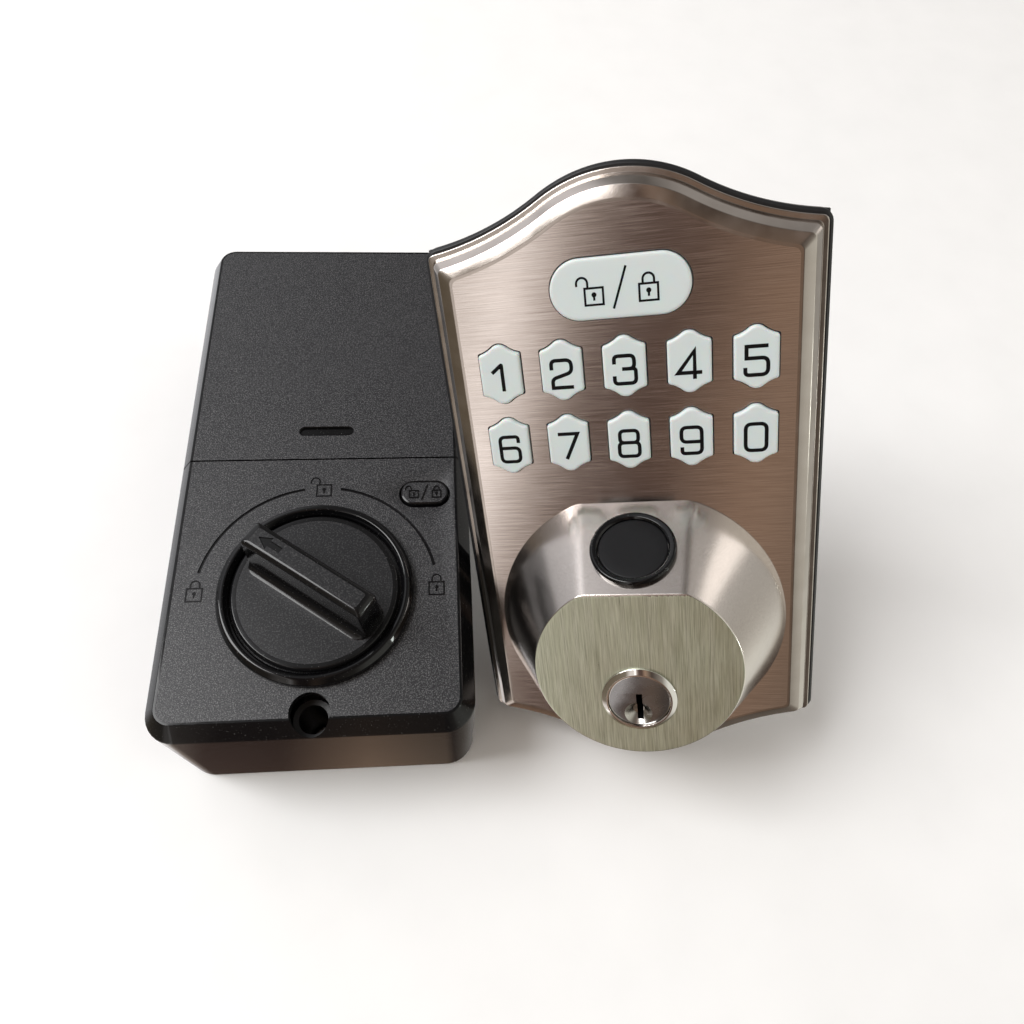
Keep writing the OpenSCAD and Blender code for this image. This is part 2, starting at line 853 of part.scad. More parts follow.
// Half of the space beside the seam between the two covers
module beside_split(upper) {
    reach = case_span[1] - case_span[0];
    translate([-case_half_width - cut,
               upper ? split_height + split_gap / 2 : split_height - split_gap / 2 - reach, -cut])
        cube([2 * (case_half_width + cut), reach, case_depth + 2 * cut]);
}

// Band of the dial line between two angles
module dial_line(from, to) {
    reach = 1.5 * dial_radii[1];
    middle = (from + to) / 2;
    intersection() {
        difference() {
            circle(r = dial_radii[1]);
            circle(r = dial_radii[0]);
        }
        polygon([[0, 0], [reach * cos(from), reach * sin(from)],
                 [reach * cos(middle), reach * sin(middle)], [reach * cos(to), reach * sin(to)]]);
    }
}

// Front cover with the dial, the turn's opening and the deep screw hole
module int_front_cover() {
    mark_depth = 0.35;
    color(dark_plastic) difference() {
        union() {
            intersection() {
                case_shell();
                beside_split(false);
            }
            intersection() {
                translate([face_hole[0], face_hole[1], cover_post_start])
                    cylinder(h = case_depth - case_bevel[1] - cover_post_start,
                             r = cover_post_radius);
                linear_extrude(case_depth)
                    case_outline(0.5);
            }
        }
        translate([0, 0, case_depth - 2 * case_wall])
            cylinder(h = 3 * case_wall, r = shaft_radius + 1);
        translate([button_place[0], button_place[1], case_depth - 2 * case_wall])
            linear_extrude(3 * case_wall)
                pill(button_size, slack);
        translate([face_hole[0], face_hole[1], case_depth - face_hole_depth])
            cylinder(h = case_depth, r = face_hole_radii[0]);
        translate([face_hole[0], face_hole[1], cover_screw_seat])
            cylinder(h = case_depth, r = face_hole_radii[1]);
        translate([face_hole[0], face_hole[1], 0])
            cylinder(h = case_depth, r = screw_clearance);
        translate([0, 0, case_depth - mark_depth])
            linear_extrude(cut) {
                for (span = dial_spans)
                    dial_line(span[0], span[1]);
                for (place = sign_places)
                    translate([place[0], place[1]])
                        padlock(sign_width, place[2]);
            }
    }
}

// Battery cover that slides off upwards
module battery_cover() {
    color(dark_plastic) {
        difference() {
            intersection() {
                case_shell();
                beside_split(true);
            }
            translate([0, split_height + grip_offset, case_depth - grip_depth])
                linear_extrude(cut)
                    pill(grip_size);
        }
        for (x = [-1, 1])
            translate([x * (case_half_width - case_wall - guide_gap) - guide_rib[0] / 2,
                       bay_start + 4, rail_height - guide_rib[2] / 2])
                cube(guide_rib);
    }
}

// Steel plate screwed to the door, with the standoff for the cover screw
module mounting_plate() {
    color(steel) difference() {
        union() {
            linear_extrude(floor_height)
                case_outline(case_wall + 0.3);
            translate([face_hole[0], face_hole[1], 0])
                cylinder(h = cover_post_start, r = 2);
        }
        translate([0, 0, -cut])
            cylinder(h = 4, r = shaft_radius + 1.5);
        for (x = [-1, 1])
            translate([x * bolt_half_spacing, 0, -cut])
                cylinder(h = 4, r = 2.7);
        translate([-7, header_middle - 4, -cut])
            cube([14, 8, 4]);
        translate([face_hole[0], face_hole[1], 2])
            cylinder(h = 8, r = screw_hole);
        for (place = chassis_screw_places)
            translate([place[0], place[1], -cut])
                cylinder(h = 4, r = screw_hole);
    }
}

// Chassis with the gear posts below and the battery bay above
module int_chassis() {
    bay_end = case_span[1] - case_wall - 0.5;
    half = chassis_half_width;
    color(gloss_black) difference() {
        union() {
            translate([0, 0, floor_height])
                linear_extrude(chassis_top - floor_height)
                    case_outline(case_half_width - half);
            difference() {
                translate([0, 0, floor_height])
                    linear_extrude(bay_top - floor_height)
                        case_outline(case_half_width - half);
                translate([-half - cut, case_span[0] - cut, 0])
                    cube([2 * (half + cut), bay_start - case_span[0] + cut, case_depth]);
                translate([bay_wall - half, bay_span[0], bay_floor[1]])
                    cube([2 * (half - bay_wall), bay_span[1] - bay_span[0], case_depth]);
                translate([bay_wall - half, bay_start - cut, chassis_top])
                    cube([2 * (half - bay_wall), bay_end - bay_start - bay_wall + cut,
                          bay_floor[0] - chassis_top]);
                for (x = [-1, 1])
                    translate([x * half - 0.9, bay_start - cut, rail_height - 1])
                        cube([1.8, bay_end, 2]);
            }
            for (place = bridge_posts)
                translate([place[0], place[1], chassis_top])
                    cylinder(h = bridge_height[0] - chassis_top, r = 2.6);
            for (x = [-24, 24], y = [52, 90])
                translate([x, y, chassis_top])
                    cylinder(h = main_board_height - chassis_top, r = 2.4);
            translate([worm_offset - 4, 28.4, chassis_top])
                cube([8, 2.4, worm_height + 3 - chassis_top]);
            translate([worm_offset - motor_size[0] / 2, motor_start + 1, chassis_top])
                cube([motor_size[0], motor_size[1] - 2,
                      worm_height - motor_size[2] / 2 - chassis_top]);
        }
        translate([0, 0, floor_height - cut])
            cylinder(h = 4, r = shaft_radius + running_gap);
        for (x = [-1, 1])
            translate([x * bolt_half_spacing, 0, floor_height - cut])
                cylinder(h = chassis_top, r = 5);
        translate([-7, header_middle - 4, 0])
            cube([14, 8, 4]);
        translate([face_hole[0], face_hole[1], 0])
            cylinder(h = 4, r = 6.2);
        translate([worm_offset, 27, worm_height])
            rotate([-90, 0, 0])
                cylinder(h = 5, r = 1 + running_gap);
        for (place = chassis_screw_places)
            translate([place[0], place[1], 0])
                cylinder(h = 4, r = screw_clearance);
        for (place = bridge_posts)
            translate([place[0], place[1], bridge_height[0] - 8])
                cylinder(h = 9, r = screw_hole);
        translate([idler_position[0], idler_position[1], floor_height - cut])
            cylinder(h = 4, r = 1.5);
    }
}

// Bridge plate that holds the upper ends of the shafts
module gear_bridge() {
    color(gloss_black) difference() {
        translate([-23, -21, bridge_height[0]])
            cube([54, 55.5, bridge_height[1] - bridge_height[0]]);
        translate([0, 0, bridge_height[0] - cut])
            cylinder(h = 4, r = shaft_radius + running_gap);
        translate([idler_position[0], idler_position[1], bridge_height[0] - cut])
            cylinder(h = 4, r = 1.5);
        for (place = bridge_posts)
            translate([place[0], place[1], bridge_height[0] - cut])
                cylinder(h = 4, r = screw_clearance);
    }
}

// Screws of the bridge plate and the chassis, and the long one in the face's deep hole
module int_screws() {
    color(steel) {
        for (place = bridge_posts)
            translate([place[0], place[1], bridge_height[1]])
                screw(7);
        for (place = chassis_screw_places)
            translate([place[0], place[1], chassis_top])
                screw(3);
        translate([face_hole[0], face_hole[1], cover_screw_seat])
            screw(cover_screw_length);
    }
}

// Glossy ring round the thumb turn
module knob_ring() {
    inner = turn_radius + 0.4;
    color(gloss_black)
        translate([0, 0, case_depth])
            rotate_extrude()
                polygon([[inner, 0], [ring_radius, 0], [ring_radius, 0.7 * ring_height],
                         [ring_radius - 0.6, ring_height], [inner + 1, ring_height],
                         [inner, 0.55 * ring_height]]);
}

// Cross-section of the lever, with rounded shoulders and hollow feet
module lever_section() {
    half = lever_width / 2;
    height = case_depth + lever_height - turn_top;
    round_top = 1.2;
    foot = 1.9;
    translate([-half, -cut])
        square([lever_width, height - round_top + cut]);
    translate([round_top - half, 0])
        square([lever_width - 2 * round_top, height]);
    for (x = [-1, 1]) {
        translate([x * (half - round_top), height - round_top])
            circle(r = round_top);
        difference() {
            translate([x * (half + foot / 2), foot / 2 - cut / 2])
                square([foot + 0.2, foot + cut], center = true);
            translate([x * (half + foot), foot])
                circle(r = foot);
        }
    }
}

// Turning disc with its lever and arrow
module thumb_turn() {
    half = lever_length / 2;
    height = case_depth + lever_height;
    color(dark_plastic) rotate([0, 0, lever_angle]) {
        translate([0, 0, turn_floor])
            cylinder(h = turn_top - turn_floor, r = turn_radius);
        difference() {
            intersection() {
                translate([-turn_radius, 0, turn_top])
                    rotate([90, 0, 90])
                        linear_extrude(2 * turn_radius)
                            lever_section();
                rotate([90, 0, 0])
                    linear_extrude(2 * turn_radius, center = true)
                        polygon([[-half - 1.6, turn_floor], [half + 1.6, turn_floor],
                                 [half, height - 1.4], [half - 1.4, height],
                                 [1.4 - half, height], [-half, height - 1.4]]);
                translate([0, 0, turn_floor])
                    cylinder(h = lever_height + cut, r = turn_radius);
            }
            translate([half - 8.6, 0, height - 0.3])
                linear_extrude(cut)
                    polygon([[6.4, 0], [3, 1.9], [3, 0.8], [0, 0.8], [0, -0.8], [3, -0.8],
                             [3, -1.9]]);
        }
    }
}

// Shaft under the thumb turn, slotted for the tailpiece
module turn_hub() {
    base = floor_height + 0.4;
    color(nylon) rotate([0, 0, lever_angle - 90]) difference() {
        translate([0, 0, base])
            cylinder(h = turn_floor - base, r = shaft_radius);
        translate([-tail_size[0] / 2 - 0.2, -tail_size[1] / 2 - 0.3, base - cut])
            cube([tail_size[0] + 0.4, tail_size[1] + 0.6, 18]);
        translate([0, 0, bridge_height[1] + slack])
            difference() {
                cylinder(h = 0.8, r = shaft_radius + cut);
                cylinder(h = 0.8, r = shaft_radius - 0.8);
            }
    }
}

// Retaining ring in the groove of the turn shaft
module hub_clip() {
    color(steel)
        translate([0, 0, bridge_height[1] + slack])
            difference() {
                cylinder(h = 0.8, r = shaft_radius + 2);
                translate([0, 0, -cut])
                    cylinder(h = 3, r = shaft_radius - 0.8);
                translate([-1.6, 0, -cut])
                    cube([3.2, 2 * shaft_radius, 3]);
            }
}

// Angle between a tooth's middle and its involute flank at a radius
function flank_angle(teeth, radius, play) =
    let (pitch = gear_module * teeth / 2,
         base = pitch * cos(20),
         at_pitch = tan(20) * 180 / PI - 20,
         steep = acos(min(1, base / radius)))
    90 / teeth * (1 - play) + at_pitch - (tan(steep) * 180 / PI - steep);

// Spur gear outline, with its teeth thinned by the share given as play
module gear_outline(teeth, addendum, play, first) {
    pitch = gear_module * teeth / 2;
    root = pitch - 1.15 * gear_module;
    outer = pitch + addendum;
    steps = 4;
    rise = [for (s = [0:steps]) max(root, pitch * cos(20)) * (1 - s / steps) + outer * s / steps];
    flank = concat([[root, flank_angle(teeth, rise[0], play)]],
                   [for (r = rise) [r, flank_angle(teeth, r, play)]]);
    tooth = concat([for (p = flank) [p[0], -p[1]]],
                   [for (i = [len(flank) - 1:-1:0]) flank[i]]);
    polygon([for (t = [0:teeth - 1], p = tooth)
             [p[0] * cos(360 * t / teeth + first + p[1]),
              p[0] * sin(360 * t / teeth + first + p[1])]]);
}

// Gear on the turn shaft
module output_gear() {
    color(nylon)
        translate([0, 0, gear_floor])
            difference() {
                linear_extrude(gear_width)
                    gear_outline(output_teeth, 0.7, 0.22, idler_bearing);
                translate([0, 0, -cut])
                    cylinder(h = gear_width + 2 * cut, r = shaft_radius);
            }
}

// Idler with a large worm wheel above and a pinion below
module worm_wheel() {
    color(brass)
        translate([idler_position[0], idler_position[1], 0])
            difference() {
                union() {
                    translate([0, 0, gear_floor - 0.4])
                        linear_extrude(gear_width + 0.8)
                            gear_outline(pinion_teeth, 0.7, 0.22,
                                         idler_bearing + 180 + 180 / pinion_teeth);
                    translate([0, 0, gear_floor])
                        cylinder(h = bridge_height[0] - slack - gear_floor, r = 3.4);
                    translate([0, 0, wheel_floor])
                        linear_extrude(gear_width)
                            gear_outline(wheel_teeth, 0.45, 0.4, 180 / wheel_teeth);
                }
                translate([0, 0, gear_floor - cut])
                    cylinder(h = case_depth, r = 1.5 + running_gap);
            }
}

// Fixed pin on which the idler turns
module idler_shaft() {
    color(steel)
        translate([idler_position[0], idler_position[1], floor_height])
            cylinder(h = bridge_height[1] - floor_height, r = 1.5);
}

// Worm with one thread and its shaft into the motor
module worm() {
    color(brass)
        translate([worm_offset, idler_position[1], worm_height])
            rotate([90, 0, 0]) {
                linear_extrude(worm_length, center = true, convexity = 4,
                               twist = -360 * worm_length / worm_pitch, slices = 84, $fn = 12)
                    translate([worm_throw, 0])
                        circle(r = worm_radius);
                translate([0, 0, -12])
                    cylinder(h = 27, r = 1);
            }
}

// Gear motor can with flat sides
module motor() {
    color(steel)
        translate([worm_offset, motor_start, worm_height])
            rotate([-90, 0, 0])
                difference() {
                    union() {
                        intersection() {
                            cylinder(h = motor_size[1], r = motor_size[0] / 2);
                            translate([-motor_size[0], -motor_size[2] / 2, 0])
                                cube([2 * motor_size[0], motor_size[2], motor_size[1]]);
                        }
                        translate([0, 0, -1])
                            cylinder(h = motor_size[1] + 1.8, r = 2.4);
                    }
                    translate([0, 0, 6])
                        cylinder(h = motor_size[1], r = 1 + running_gap);
                }
}

// Small switches that sense the end positions of the output gear
module position_switches() {
    color(dark_plastic)
        for (side = [-1, 1])
            translate([-26, side * 9 - 3, chassis_top])
                cube([6, 6, 4]);
}

// Main circuit board below the battery bay
module interior_pcb() {
    color(board_green)
        translate([-29, 46, main_board_height])
            cube([58, 56, board_thickness]);
}

// Processor, driver, capacitor and sounder on the main board
module board_parts() {
    color(dark_plastic)
        translate([0, 0, main_board_height + board_thickness]) {
            translate([-6, 68, 0])
                cube([12, 12, 1.6]);
            translate([12, 60, 0])
                cube([6, 5, 1.6]);
            translate([-15, 92, 0])
                cylinder(h = 6, r = 4);
            translate([13, 90, 0])
                difference() {
                    cylinder(h = 4.6, r = 6);
                    translate([0, 0, 3.8])
                        cylinder(h = 2, r = 1);
                }
        }
}

// Header for the cable on the main board
module int_header() {
    color(nylon)
        translate([-5, 47, main_board_height + board_thickness])
            difference() {
                cube([10, 6, 5]);
                translate([0.8, -1, 0.8])
                    cube([8.4, 5.6, 3.4]);
            }
}

// Small board under the face button, on two feet
module button_pcb() {
    color(board_green) {
        translate([button_place[0] - 6, button_place[1] - 5, bridge_height[1] + 3])
            cube([12, 10, board_thickness]);
        for (x = [-4.6, 4.6])
            translate([button_place[0] + x, button_place[1] - 3, bridge_height[1]])
                cylinder(h = 3, r = 1.2);
    }
}

// Push switch under the face button
module int_button_switch() {
    base = bridge_height[1] + 3 + board_thickness;
    color(dark_plastic)
        translate([button_place[0], button_place[1], base]) {
            translate([-3, -3, 0])
                cube([6, 6, 2]);
            cylinder(h = 2.8, r = 1.7);
        }
}

// Button on the face with a raised sign
module int_button() {
    inner = case_depth - case_wall;
    color(dark_plastic)
        translate([button_place[0], button_place[1], 0]) {
            translate([0, 0, inner - button_flange[2]])
                linear_extrude(case_wall + button_flange[2] + button_rise)
                    pill(button_size);
            translate([0, 0, inner - button_flange[2]])
                linear_extrude(button_flange[1])
                    pill(button_size, button_flange[0]);
            translate([0, 0, inner - button_stem[1] - 0.4])
                cylinder(h = button_stem[1], r = button_stem[0]);
            translate([0, 0, case_depth + button_rise])
                linear_extrude(slack) {
                    for (x = [-3, 3])
                        translate([x, -0.3])
                            padlock(button_sign_width, x < 0);
                    polygon([[-0.9, -2], [-0.5, -2], [0.9, 2], [0.5, 2]]);
                }
        }
}

// One battery, with its terminal up or down
module battery(index) {
    upward = index % 2 == 0;
    color(index % 2 == 0 ? dark_plastic : gloss_black)
        translate([(index - 1.5) * battery_pitch,
                   upward ? battery_start : battery_start + battery_length + 1.3, battery_height])
            rotate([upward ? -90 : 90, 0, 0]) {
                cylinder(h = battery_length, r = battery_radius);
                cylinder(h = battery_length + 1.3, r = 2.7);
            }
}

module battery_1() { battery(0); }
module battery_2() { battery(1); }
module battery_3() { battery(2); }
module battery_4() { battery(3); }

// Contact plates at both ends of the battery bay, each with a coil spring or a button
module battery_contacts() {
    battery_end = battery_start + battery_length + 1.3;
    color(steel)
        for (index = [0:3])
            translate([(index - 1.5) * battery_pitch, 0, battery_height]) {
                low = index % 2 == 0;
                for (plate_y = [bay_span[0], bay_span[1] - 0.4])
                    translate([-5.5, plate_y, -5.5])
                        cube([11, 0.4, 11]);
                translate([0, low ? battery_end : bay_span[0], 0])
                    rotate([-90, 0, 0])
                        cylinder(h = low ? bay_span[1] - battery_end : battery_start - bay_span[0],
                                 r = 3);
                for (turn = [0:2])
                    translate([0, low ? battery_start - 0.5 - 1.6 * turn
                                      : battery_end + 0.5 + 1.4 * turn, 0])
                        rotate([90, 0, 0])
                            rotate_extrude()
                                translate([3.4 + 0.6 * turn, 0])
                                    circle(r = 0.45);
            }
}

ext_escutcheon();
ext_boss();
ext_back_housing();
ext_gasket();
bolt_posts();
ext_screws();
key_1();
key_2();
key_3();
key_4();
key_5();
key_6();
key_7();
key_8();
key_9();
key_0();
key_lock_toggle();
keypad_mat();
keypad_switches();
keypad_pcb();
ext_header();
fingerprint_bezel();
fingerprint_sensor();
fingerprint_pcb();
lock_cylinder_body();
cylinder_collar();
cylinder_plug();
key_pins();
driver_pins();
pin_springs();
tailpiece();
tailpiece_clip();
int_front_cover();
battery_cover();
mounting_plate();
int_chassis();
gear_bridge();
int_screws();
knob_ring();
thumb_turn();
turn_hub();
hub_clip();
output_gear();
worm_wheel();
idler_shaft();
worm();
motor();
position_switches();
interior_pcb();
board_parts();
int_header();
button_pcb();
int_button_switch();
int_button();
battery_1();
battery_2();
battery_3();
battery_4();
battery_contacts();
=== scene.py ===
import json
from math import atan2, cos, degrees, hypot, radians, sin, sqrt

import bmesh
import bpy
from mathutils import Euler, Matrix, Vector


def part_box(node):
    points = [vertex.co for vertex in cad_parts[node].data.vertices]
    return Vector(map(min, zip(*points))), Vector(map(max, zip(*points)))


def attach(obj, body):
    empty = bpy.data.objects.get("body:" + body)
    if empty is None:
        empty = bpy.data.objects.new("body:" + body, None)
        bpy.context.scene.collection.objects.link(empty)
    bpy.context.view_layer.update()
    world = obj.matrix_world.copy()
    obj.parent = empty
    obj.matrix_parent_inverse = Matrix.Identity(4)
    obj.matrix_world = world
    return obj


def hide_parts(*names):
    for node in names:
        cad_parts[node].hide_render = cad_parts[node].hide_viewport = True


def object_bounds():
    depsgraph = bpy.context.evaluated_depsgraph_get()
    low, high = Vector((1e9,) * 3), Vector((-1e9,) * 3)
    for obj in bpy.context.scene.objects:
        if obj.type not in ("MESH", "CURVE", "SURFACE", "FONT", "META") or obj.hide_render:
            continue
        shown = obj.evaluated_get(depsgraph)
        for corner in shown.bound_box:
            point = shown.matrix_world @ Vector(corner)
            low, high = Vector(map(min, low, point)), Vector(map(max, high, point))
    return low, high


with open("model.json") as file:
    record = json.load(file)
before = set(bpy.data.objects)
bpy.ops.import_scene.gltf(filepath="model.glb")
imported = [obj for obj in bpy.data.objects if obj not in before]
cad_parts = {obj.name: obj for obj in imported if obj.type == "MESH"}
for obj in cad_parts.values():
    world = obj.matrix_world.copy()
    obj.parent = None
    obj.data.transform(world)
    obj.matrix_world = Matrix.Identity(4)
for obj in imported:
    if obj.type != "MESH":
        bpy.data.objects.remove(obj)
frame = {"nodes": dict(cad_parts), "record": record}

MM = 0.001
CAD_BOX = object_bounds()
STEPS = 8
MITRE_LEAST = 0.4

# Exterior unit. A pair is (inset, height), or (inset, drop below the top) for an edge. A name
# that ends in SOFT holds the corner radii of the section that it is drawn with.
PLATE = dict(half_width=39.4, half_height=69.95, crown=30.0, flank=60.0, angle=31.1)
PLATE_MIDDLE = 33.8
PLATE_CORNER = 1.3
PLATE_STEPS = 18
POCKET_INSET = 6.6
SEAM = 4.0
FACE = 10.0
REAR_FACE = 8.2
RIM = [(1.3, SEAM), (1.3, 5.2), (2.35, 5.25), (2.8, 7.3), (4.0, 9.1), (6.2, FACE), (6.8, FACE)]
RIM_SOFT = [0, 0.3, 0.12, 0.5, 0.5, 0.5, 0]
WINDOW_LIP = ((0.1, FACE), (0.04, FACE - 0.02), (0.0, FACE - 0.08), (0.0, REAR_FACE))
HOUSING_INSET = 0.35
HOUSING_CORNER = 2.6
HOUSING_OPENING = 17.0
HOUSING_SOFT = [0, 0.2, 0.2, 0.3, 0]
KEY = dict(half_width=4.2, half_height=6.1, crown=2.2, flank=6.7, angle=40.0)
KEY_CORNER = 0.5
KEY_STEPS = 8
KEY_PITCH = (12.5, 15.6)
KEY_MIDDLE = 58.5
KEY_GAP = 0.2
KEY_BASE = 7.0
KEY_FLANGE = 0.6
KEY_FLANGE_TOP = 7.9
KEY_EDGE = ((0.0, 0.42), (0.06, 0.22), (0.18, 0.09), (0.38, 0.02), (0.6, 0.0))
DIGIT_DROP = 0.55
PRINT_SUNK = 0.02
PRINT_RISE = 0.012
TOGGLE = (26.8, 11.6)
TOGGLE_MIDDLE = 81.75
TOGGLE_EDGE = ((0.0, 0.45), (0.08, 0.22), (0.22, 0.09), (0.45, 0.02), (0.75, 0.0))
TOGGLE_LOCKS = (((-4.9, TOGGLE_MIDDLE - 1.3), True), ((5.4, TOGGLE_MIDDLE - 1.3), False))
TOGGLE_SLASH = ((-1.3, TOGGLE_MIDDLE - 3.9), (1.35, TOGGLE_MIDDLE + 3.9))
BOSS_MIDDLE = 6.9
BOSS_BASE = 31.9
BOSS_DISC = 21.5
BOSS_HEIGHT = 20.3
BOSS_WALL = 2.2
BOSS_STEPS = 360
BOSS_OPENING = 22.0
BOSS_FLAT = 17.4
BOSS_FLAT_REAR = 15.4
BOSS_FOOT = (0.5, 0.05)  # how far in and how high the soft foot starts
BOSS_SOFT = [0, 0.3, 0.5, 0]
BOSS_RING_GAP = (0.3, 1.2)  # between the mesh's rings, outside and inside
DISC = FACE + BOSS_HEIGHT
FACET_BASE = 36.3
FACET_TOP = 25.6
FACET_SOFT = 0.55
READER_RISE = 12.2
READER_RADIUS = 8.9
BEZEL_WIDTH = 1.7
BEZEL_FOOT = -0.6
BEZEL_SOFT = [0, 0.2, 0.3, 0.5, 0.4, 0]
PAD_FOOT = -0.5
PAD_EDGE = ((0.0, 0.45), (0.1, 0.56), (0.35, 0.6))
PAD_DISH = ((0.6, 0.57), (0.3, 0.55), (0.0, 0.54))  # share of the radius, and height
COLLAR_RADIUS = 7.9
COLLAR_SOFT = [0, 0.15, 0.12, 0.05, 0]
PLUG_RADIUS = 6.45
PLUG_FRONT = DISC + 0.7
PLUG_EDGE = ((0.0, 0.2), (0.05, 0.06), (0.2, 0.0))
SLOT_HALF = 0.65
SLOT_LOW = -5.5
SLOT_HIGH = 1.7
SLOT_DEPTH = 16.0
DIMPLE = (-0.35, -3.45)
DIMPLE_RADIUS = 2.9
DIMPLE_SIDES = (  # radius, and drop below the plug's face
    (0, 2.0), (1.2, 1.8), (DIMPLE_RADIUS - 0.15, 0.12), (DIMPLE_RADIUS, 0.0))

# Interior unit
CASE_HALF = 35.5
CASE_LOW = -31.9
CASE_HIGH = 109.7
CASE_TOP = 38.6
CASE_CORNER = 6.9
CASE_WALL = 2.2
BEVEL = (2.9, 4.1)  # width and height
LINING_SLOPE = (BEVEL[0] * 0.8, 3.0)
BEVEL_SOFT = [0, 1.2, 0.35, 0]
SPLIT = 35.9
SPLIT_GAP = 0.4
LIP_CLEAR = 0.15
LIP_THICK = 0.8
LIP_LAP = 1.6
DIAL_LINES = ((13, 81), (99, 168))  # degrees
DIAL_RADII = (27.15, 27.85)
DIAL_DEPTH = 0.3
DIAL_LOCKS = (((0.3, 26.9), True), ((-27.3, 0.3), False), ((27.3, 0.3), False))
DIAL_LOCK_RISE = 0.05
SHAFT_HOLE = 7.0
RING_OUTER = 22.1
RING_INNER = 19.3
RING_SHOULDER = 1.5
RING_TOP = 2.75
RING_SOFT = [0, 0.8, 0.9, 0.6, 0.6, 0]
TURN_RADIUS = 18.9
TURN_FLOOR = CASE_TOP + 0.3
TURN_TOP = TURN_FLOOR + 1.8
TURN_SOFT = [0, 0.2, 0.4, 0]
LEVER_TOP = CASE_TOP + 14.4
LEVER_HALF = 16.3
LEVER_WIDTH = 6.1
LEVER_ANGLE = 145.0
LEVER_CORNER = 0.9
# How far the foot flares, and at which height above the disc
LEVER_FOOT = ((1.9, 0.0), (1.35, 0.13), (0.85, 0.4), (0.42, 0.85), (0.14, 1.4), (0.0, 1.9))
LEVER_FOOT_CORNER = 1.3  # corner radius for each millimetre of flare
LEVER_FLARE = 0.7
LEVER_DRAFT = 0.8
LEVER_ROLL = dict(height=1.5, side=1.2, end=1.9, corner=0.35, steps=7)
ARROW_TIP = 3.4
ARROW_HEAD = (2.9, 1.55)  # length and half width
ARROW_TAIL = (6.0, 0.7)
ARROW_DEPTH = 0.28
ARROW_SLOPE = 0.12
FACE_HOLE = (0.0, -27.4)
HOLE_RADIUS = 4.4
HOLE_FLOOR = 20.0
SLEEVE = ((0.0, 32.6), (1.2, 32.4), (1.2, 12.0), (0.0, 12.0))
BUTTON = (24.7, 25.4)
BUTTON_SIZE = (11.5, 6.5)
# How far the pocket and the button's edge stand out from the button's size, and their drop
BUTTON_POCKET = ((0.5, 0.0), (0.36, 0.08), (0.3, 0.25), (0.3, CASE_WALL))
BUTTON_CLEAR = 0.3
BUTTON_EDGE = ((0.0, 0.5), (-0.15, 0.15), (-0.5, 0.0))
BUTTON_FLANGE = (1.0, 1.2, 0.9)  # how far out, how far below the case's wall, and thickness
BUTTON_LOCKS = (((BUTTON[0] - 2.6, BUTTON[1] - 0.5), True),
                ((BUTTON[0] + 2.9, BUTTON[1] - 0.5), False))
BUTTON_SLASH = ((-0.7, -2.1), (0.7, 2.1))
BUTTON_SIGN_RISE = 0.2
GRIP = (0.0, SPLIT + 8.4)
GRIP_SIZE = (13.2, 2.3)
GRIP_SIDES = ((0.25, 0.0), (0.05, 0.12), (-0.1, 0.7))


def exterior_frame():
    """The exterior unit's axes in the row frame, in metres, from the record's mounts."""
    mounts = {mount["name"]: mount for mount in frame["record"]["mounts"]}
    left = Vector(mounts["exterior_bolt_post_left"]["pos_m"])
    right = Vector(mounts["exterior_bolt_post_right"]["pos_m"])
    door = Vector(mounts["exterior_door_face"]["pos_m"])
    out = -Vector(mounts["exterior_door_face"]["axis"]).normalized()
    across = (right - left).normalized()
    middle = (left + right) / 2
    placed = Matrix((across, out.cross(across), out)).transposed().to_4x4()
    placed.translation = middle + out * (door - middle).dot(out)
    return placed


AXES = exterior_frame()
EXTERIOR = AXES @ Matrix.Scale(MM, 4)
INTERIOR = Matrix.Scale(MM, 4)
FACET_LEAN = degrees(atan2(FACET_BASE - FACET_TOP, BOSS_HEIGHT))
FACET = (EXTERIOR @ Matrix.Translation((0, FACET_BASE, FACE))
         @ Matrix.Rotation(radians(FACET_LEAN), 4, "X") @ Matrix.Translation((0, 0, READER_RISE))
         @ Matrix.Rotation(radians(-90), 4, "X"))


def node_heights(node):
    """Lowest and highest z of a CAD node of the exterior unit, in that unit's millimetres."""
    inverse = EXTERIOR.inverted()
    heights = [(inverse @ vert.co).z for vert in frame["nodes"][node].data.vertices]
    return min(heights), max(heights)


KEY_TOP = node_heights("key_3")[1]


def added(name, data):
    """A new object in the scene."""
    made = bpy.data.objects.new(name, data)
    bpy.context.scene.collection.objects.link(made)
    return made


# ---------------- outlines

def arc(cx, cy, radius, start, end, steps=STEPS):
    """Points on an arc, both ends included, with angles in degrees from the X axis."""
    turn = [radians(start + (end - start) * i / steps) for i in range(steps + 1)]
    return [(cx + radius * cos(a), cy + radius * sin(a)) for a in turn]


def arched(shape, inset, corner, lift, fine):
    """Outline with an arch at both ends and round corners, anticlockwise from the right side."""
    half = shape["half_width"] - inset
    crown = shape["crown"] - inset
    flank = shape["flank"] + inset
    angle = radians(shape["angle"])
    crown_y = shape["half_height"] - shape["crown"]
    reach = shape["crown"] + shape["flank"]
    flank_x = reach * sin(angle)
    flank_y = crown_y + reach * cos(angle)
    corner_x = half - corner
    corner_y = flank_y - sqrt((flank + corner) ** 2 - (corner_x - flank_x) ** 2)
    lean = degrees(atan2(flank_y - corner_y, flank_x - corner_x))
    quarter = arc(corner_x, corner_y, corner, 0, lean, fine // 2)
    quarter += arc(flank_x, flank_y, flank, lean + 180, 270 - shape["angle"], fine)[1:]
    quarter += arc(0, crown_y, crown, 90 - shape["angle"], 90, fine)[1:]
    top = quarter + [(-x, y) for x, y in reversed(quarter[:-1])]
    outline = top + [(-x, -y) for x, y in top]
    return [(x, y + lift) for x, y in outline]


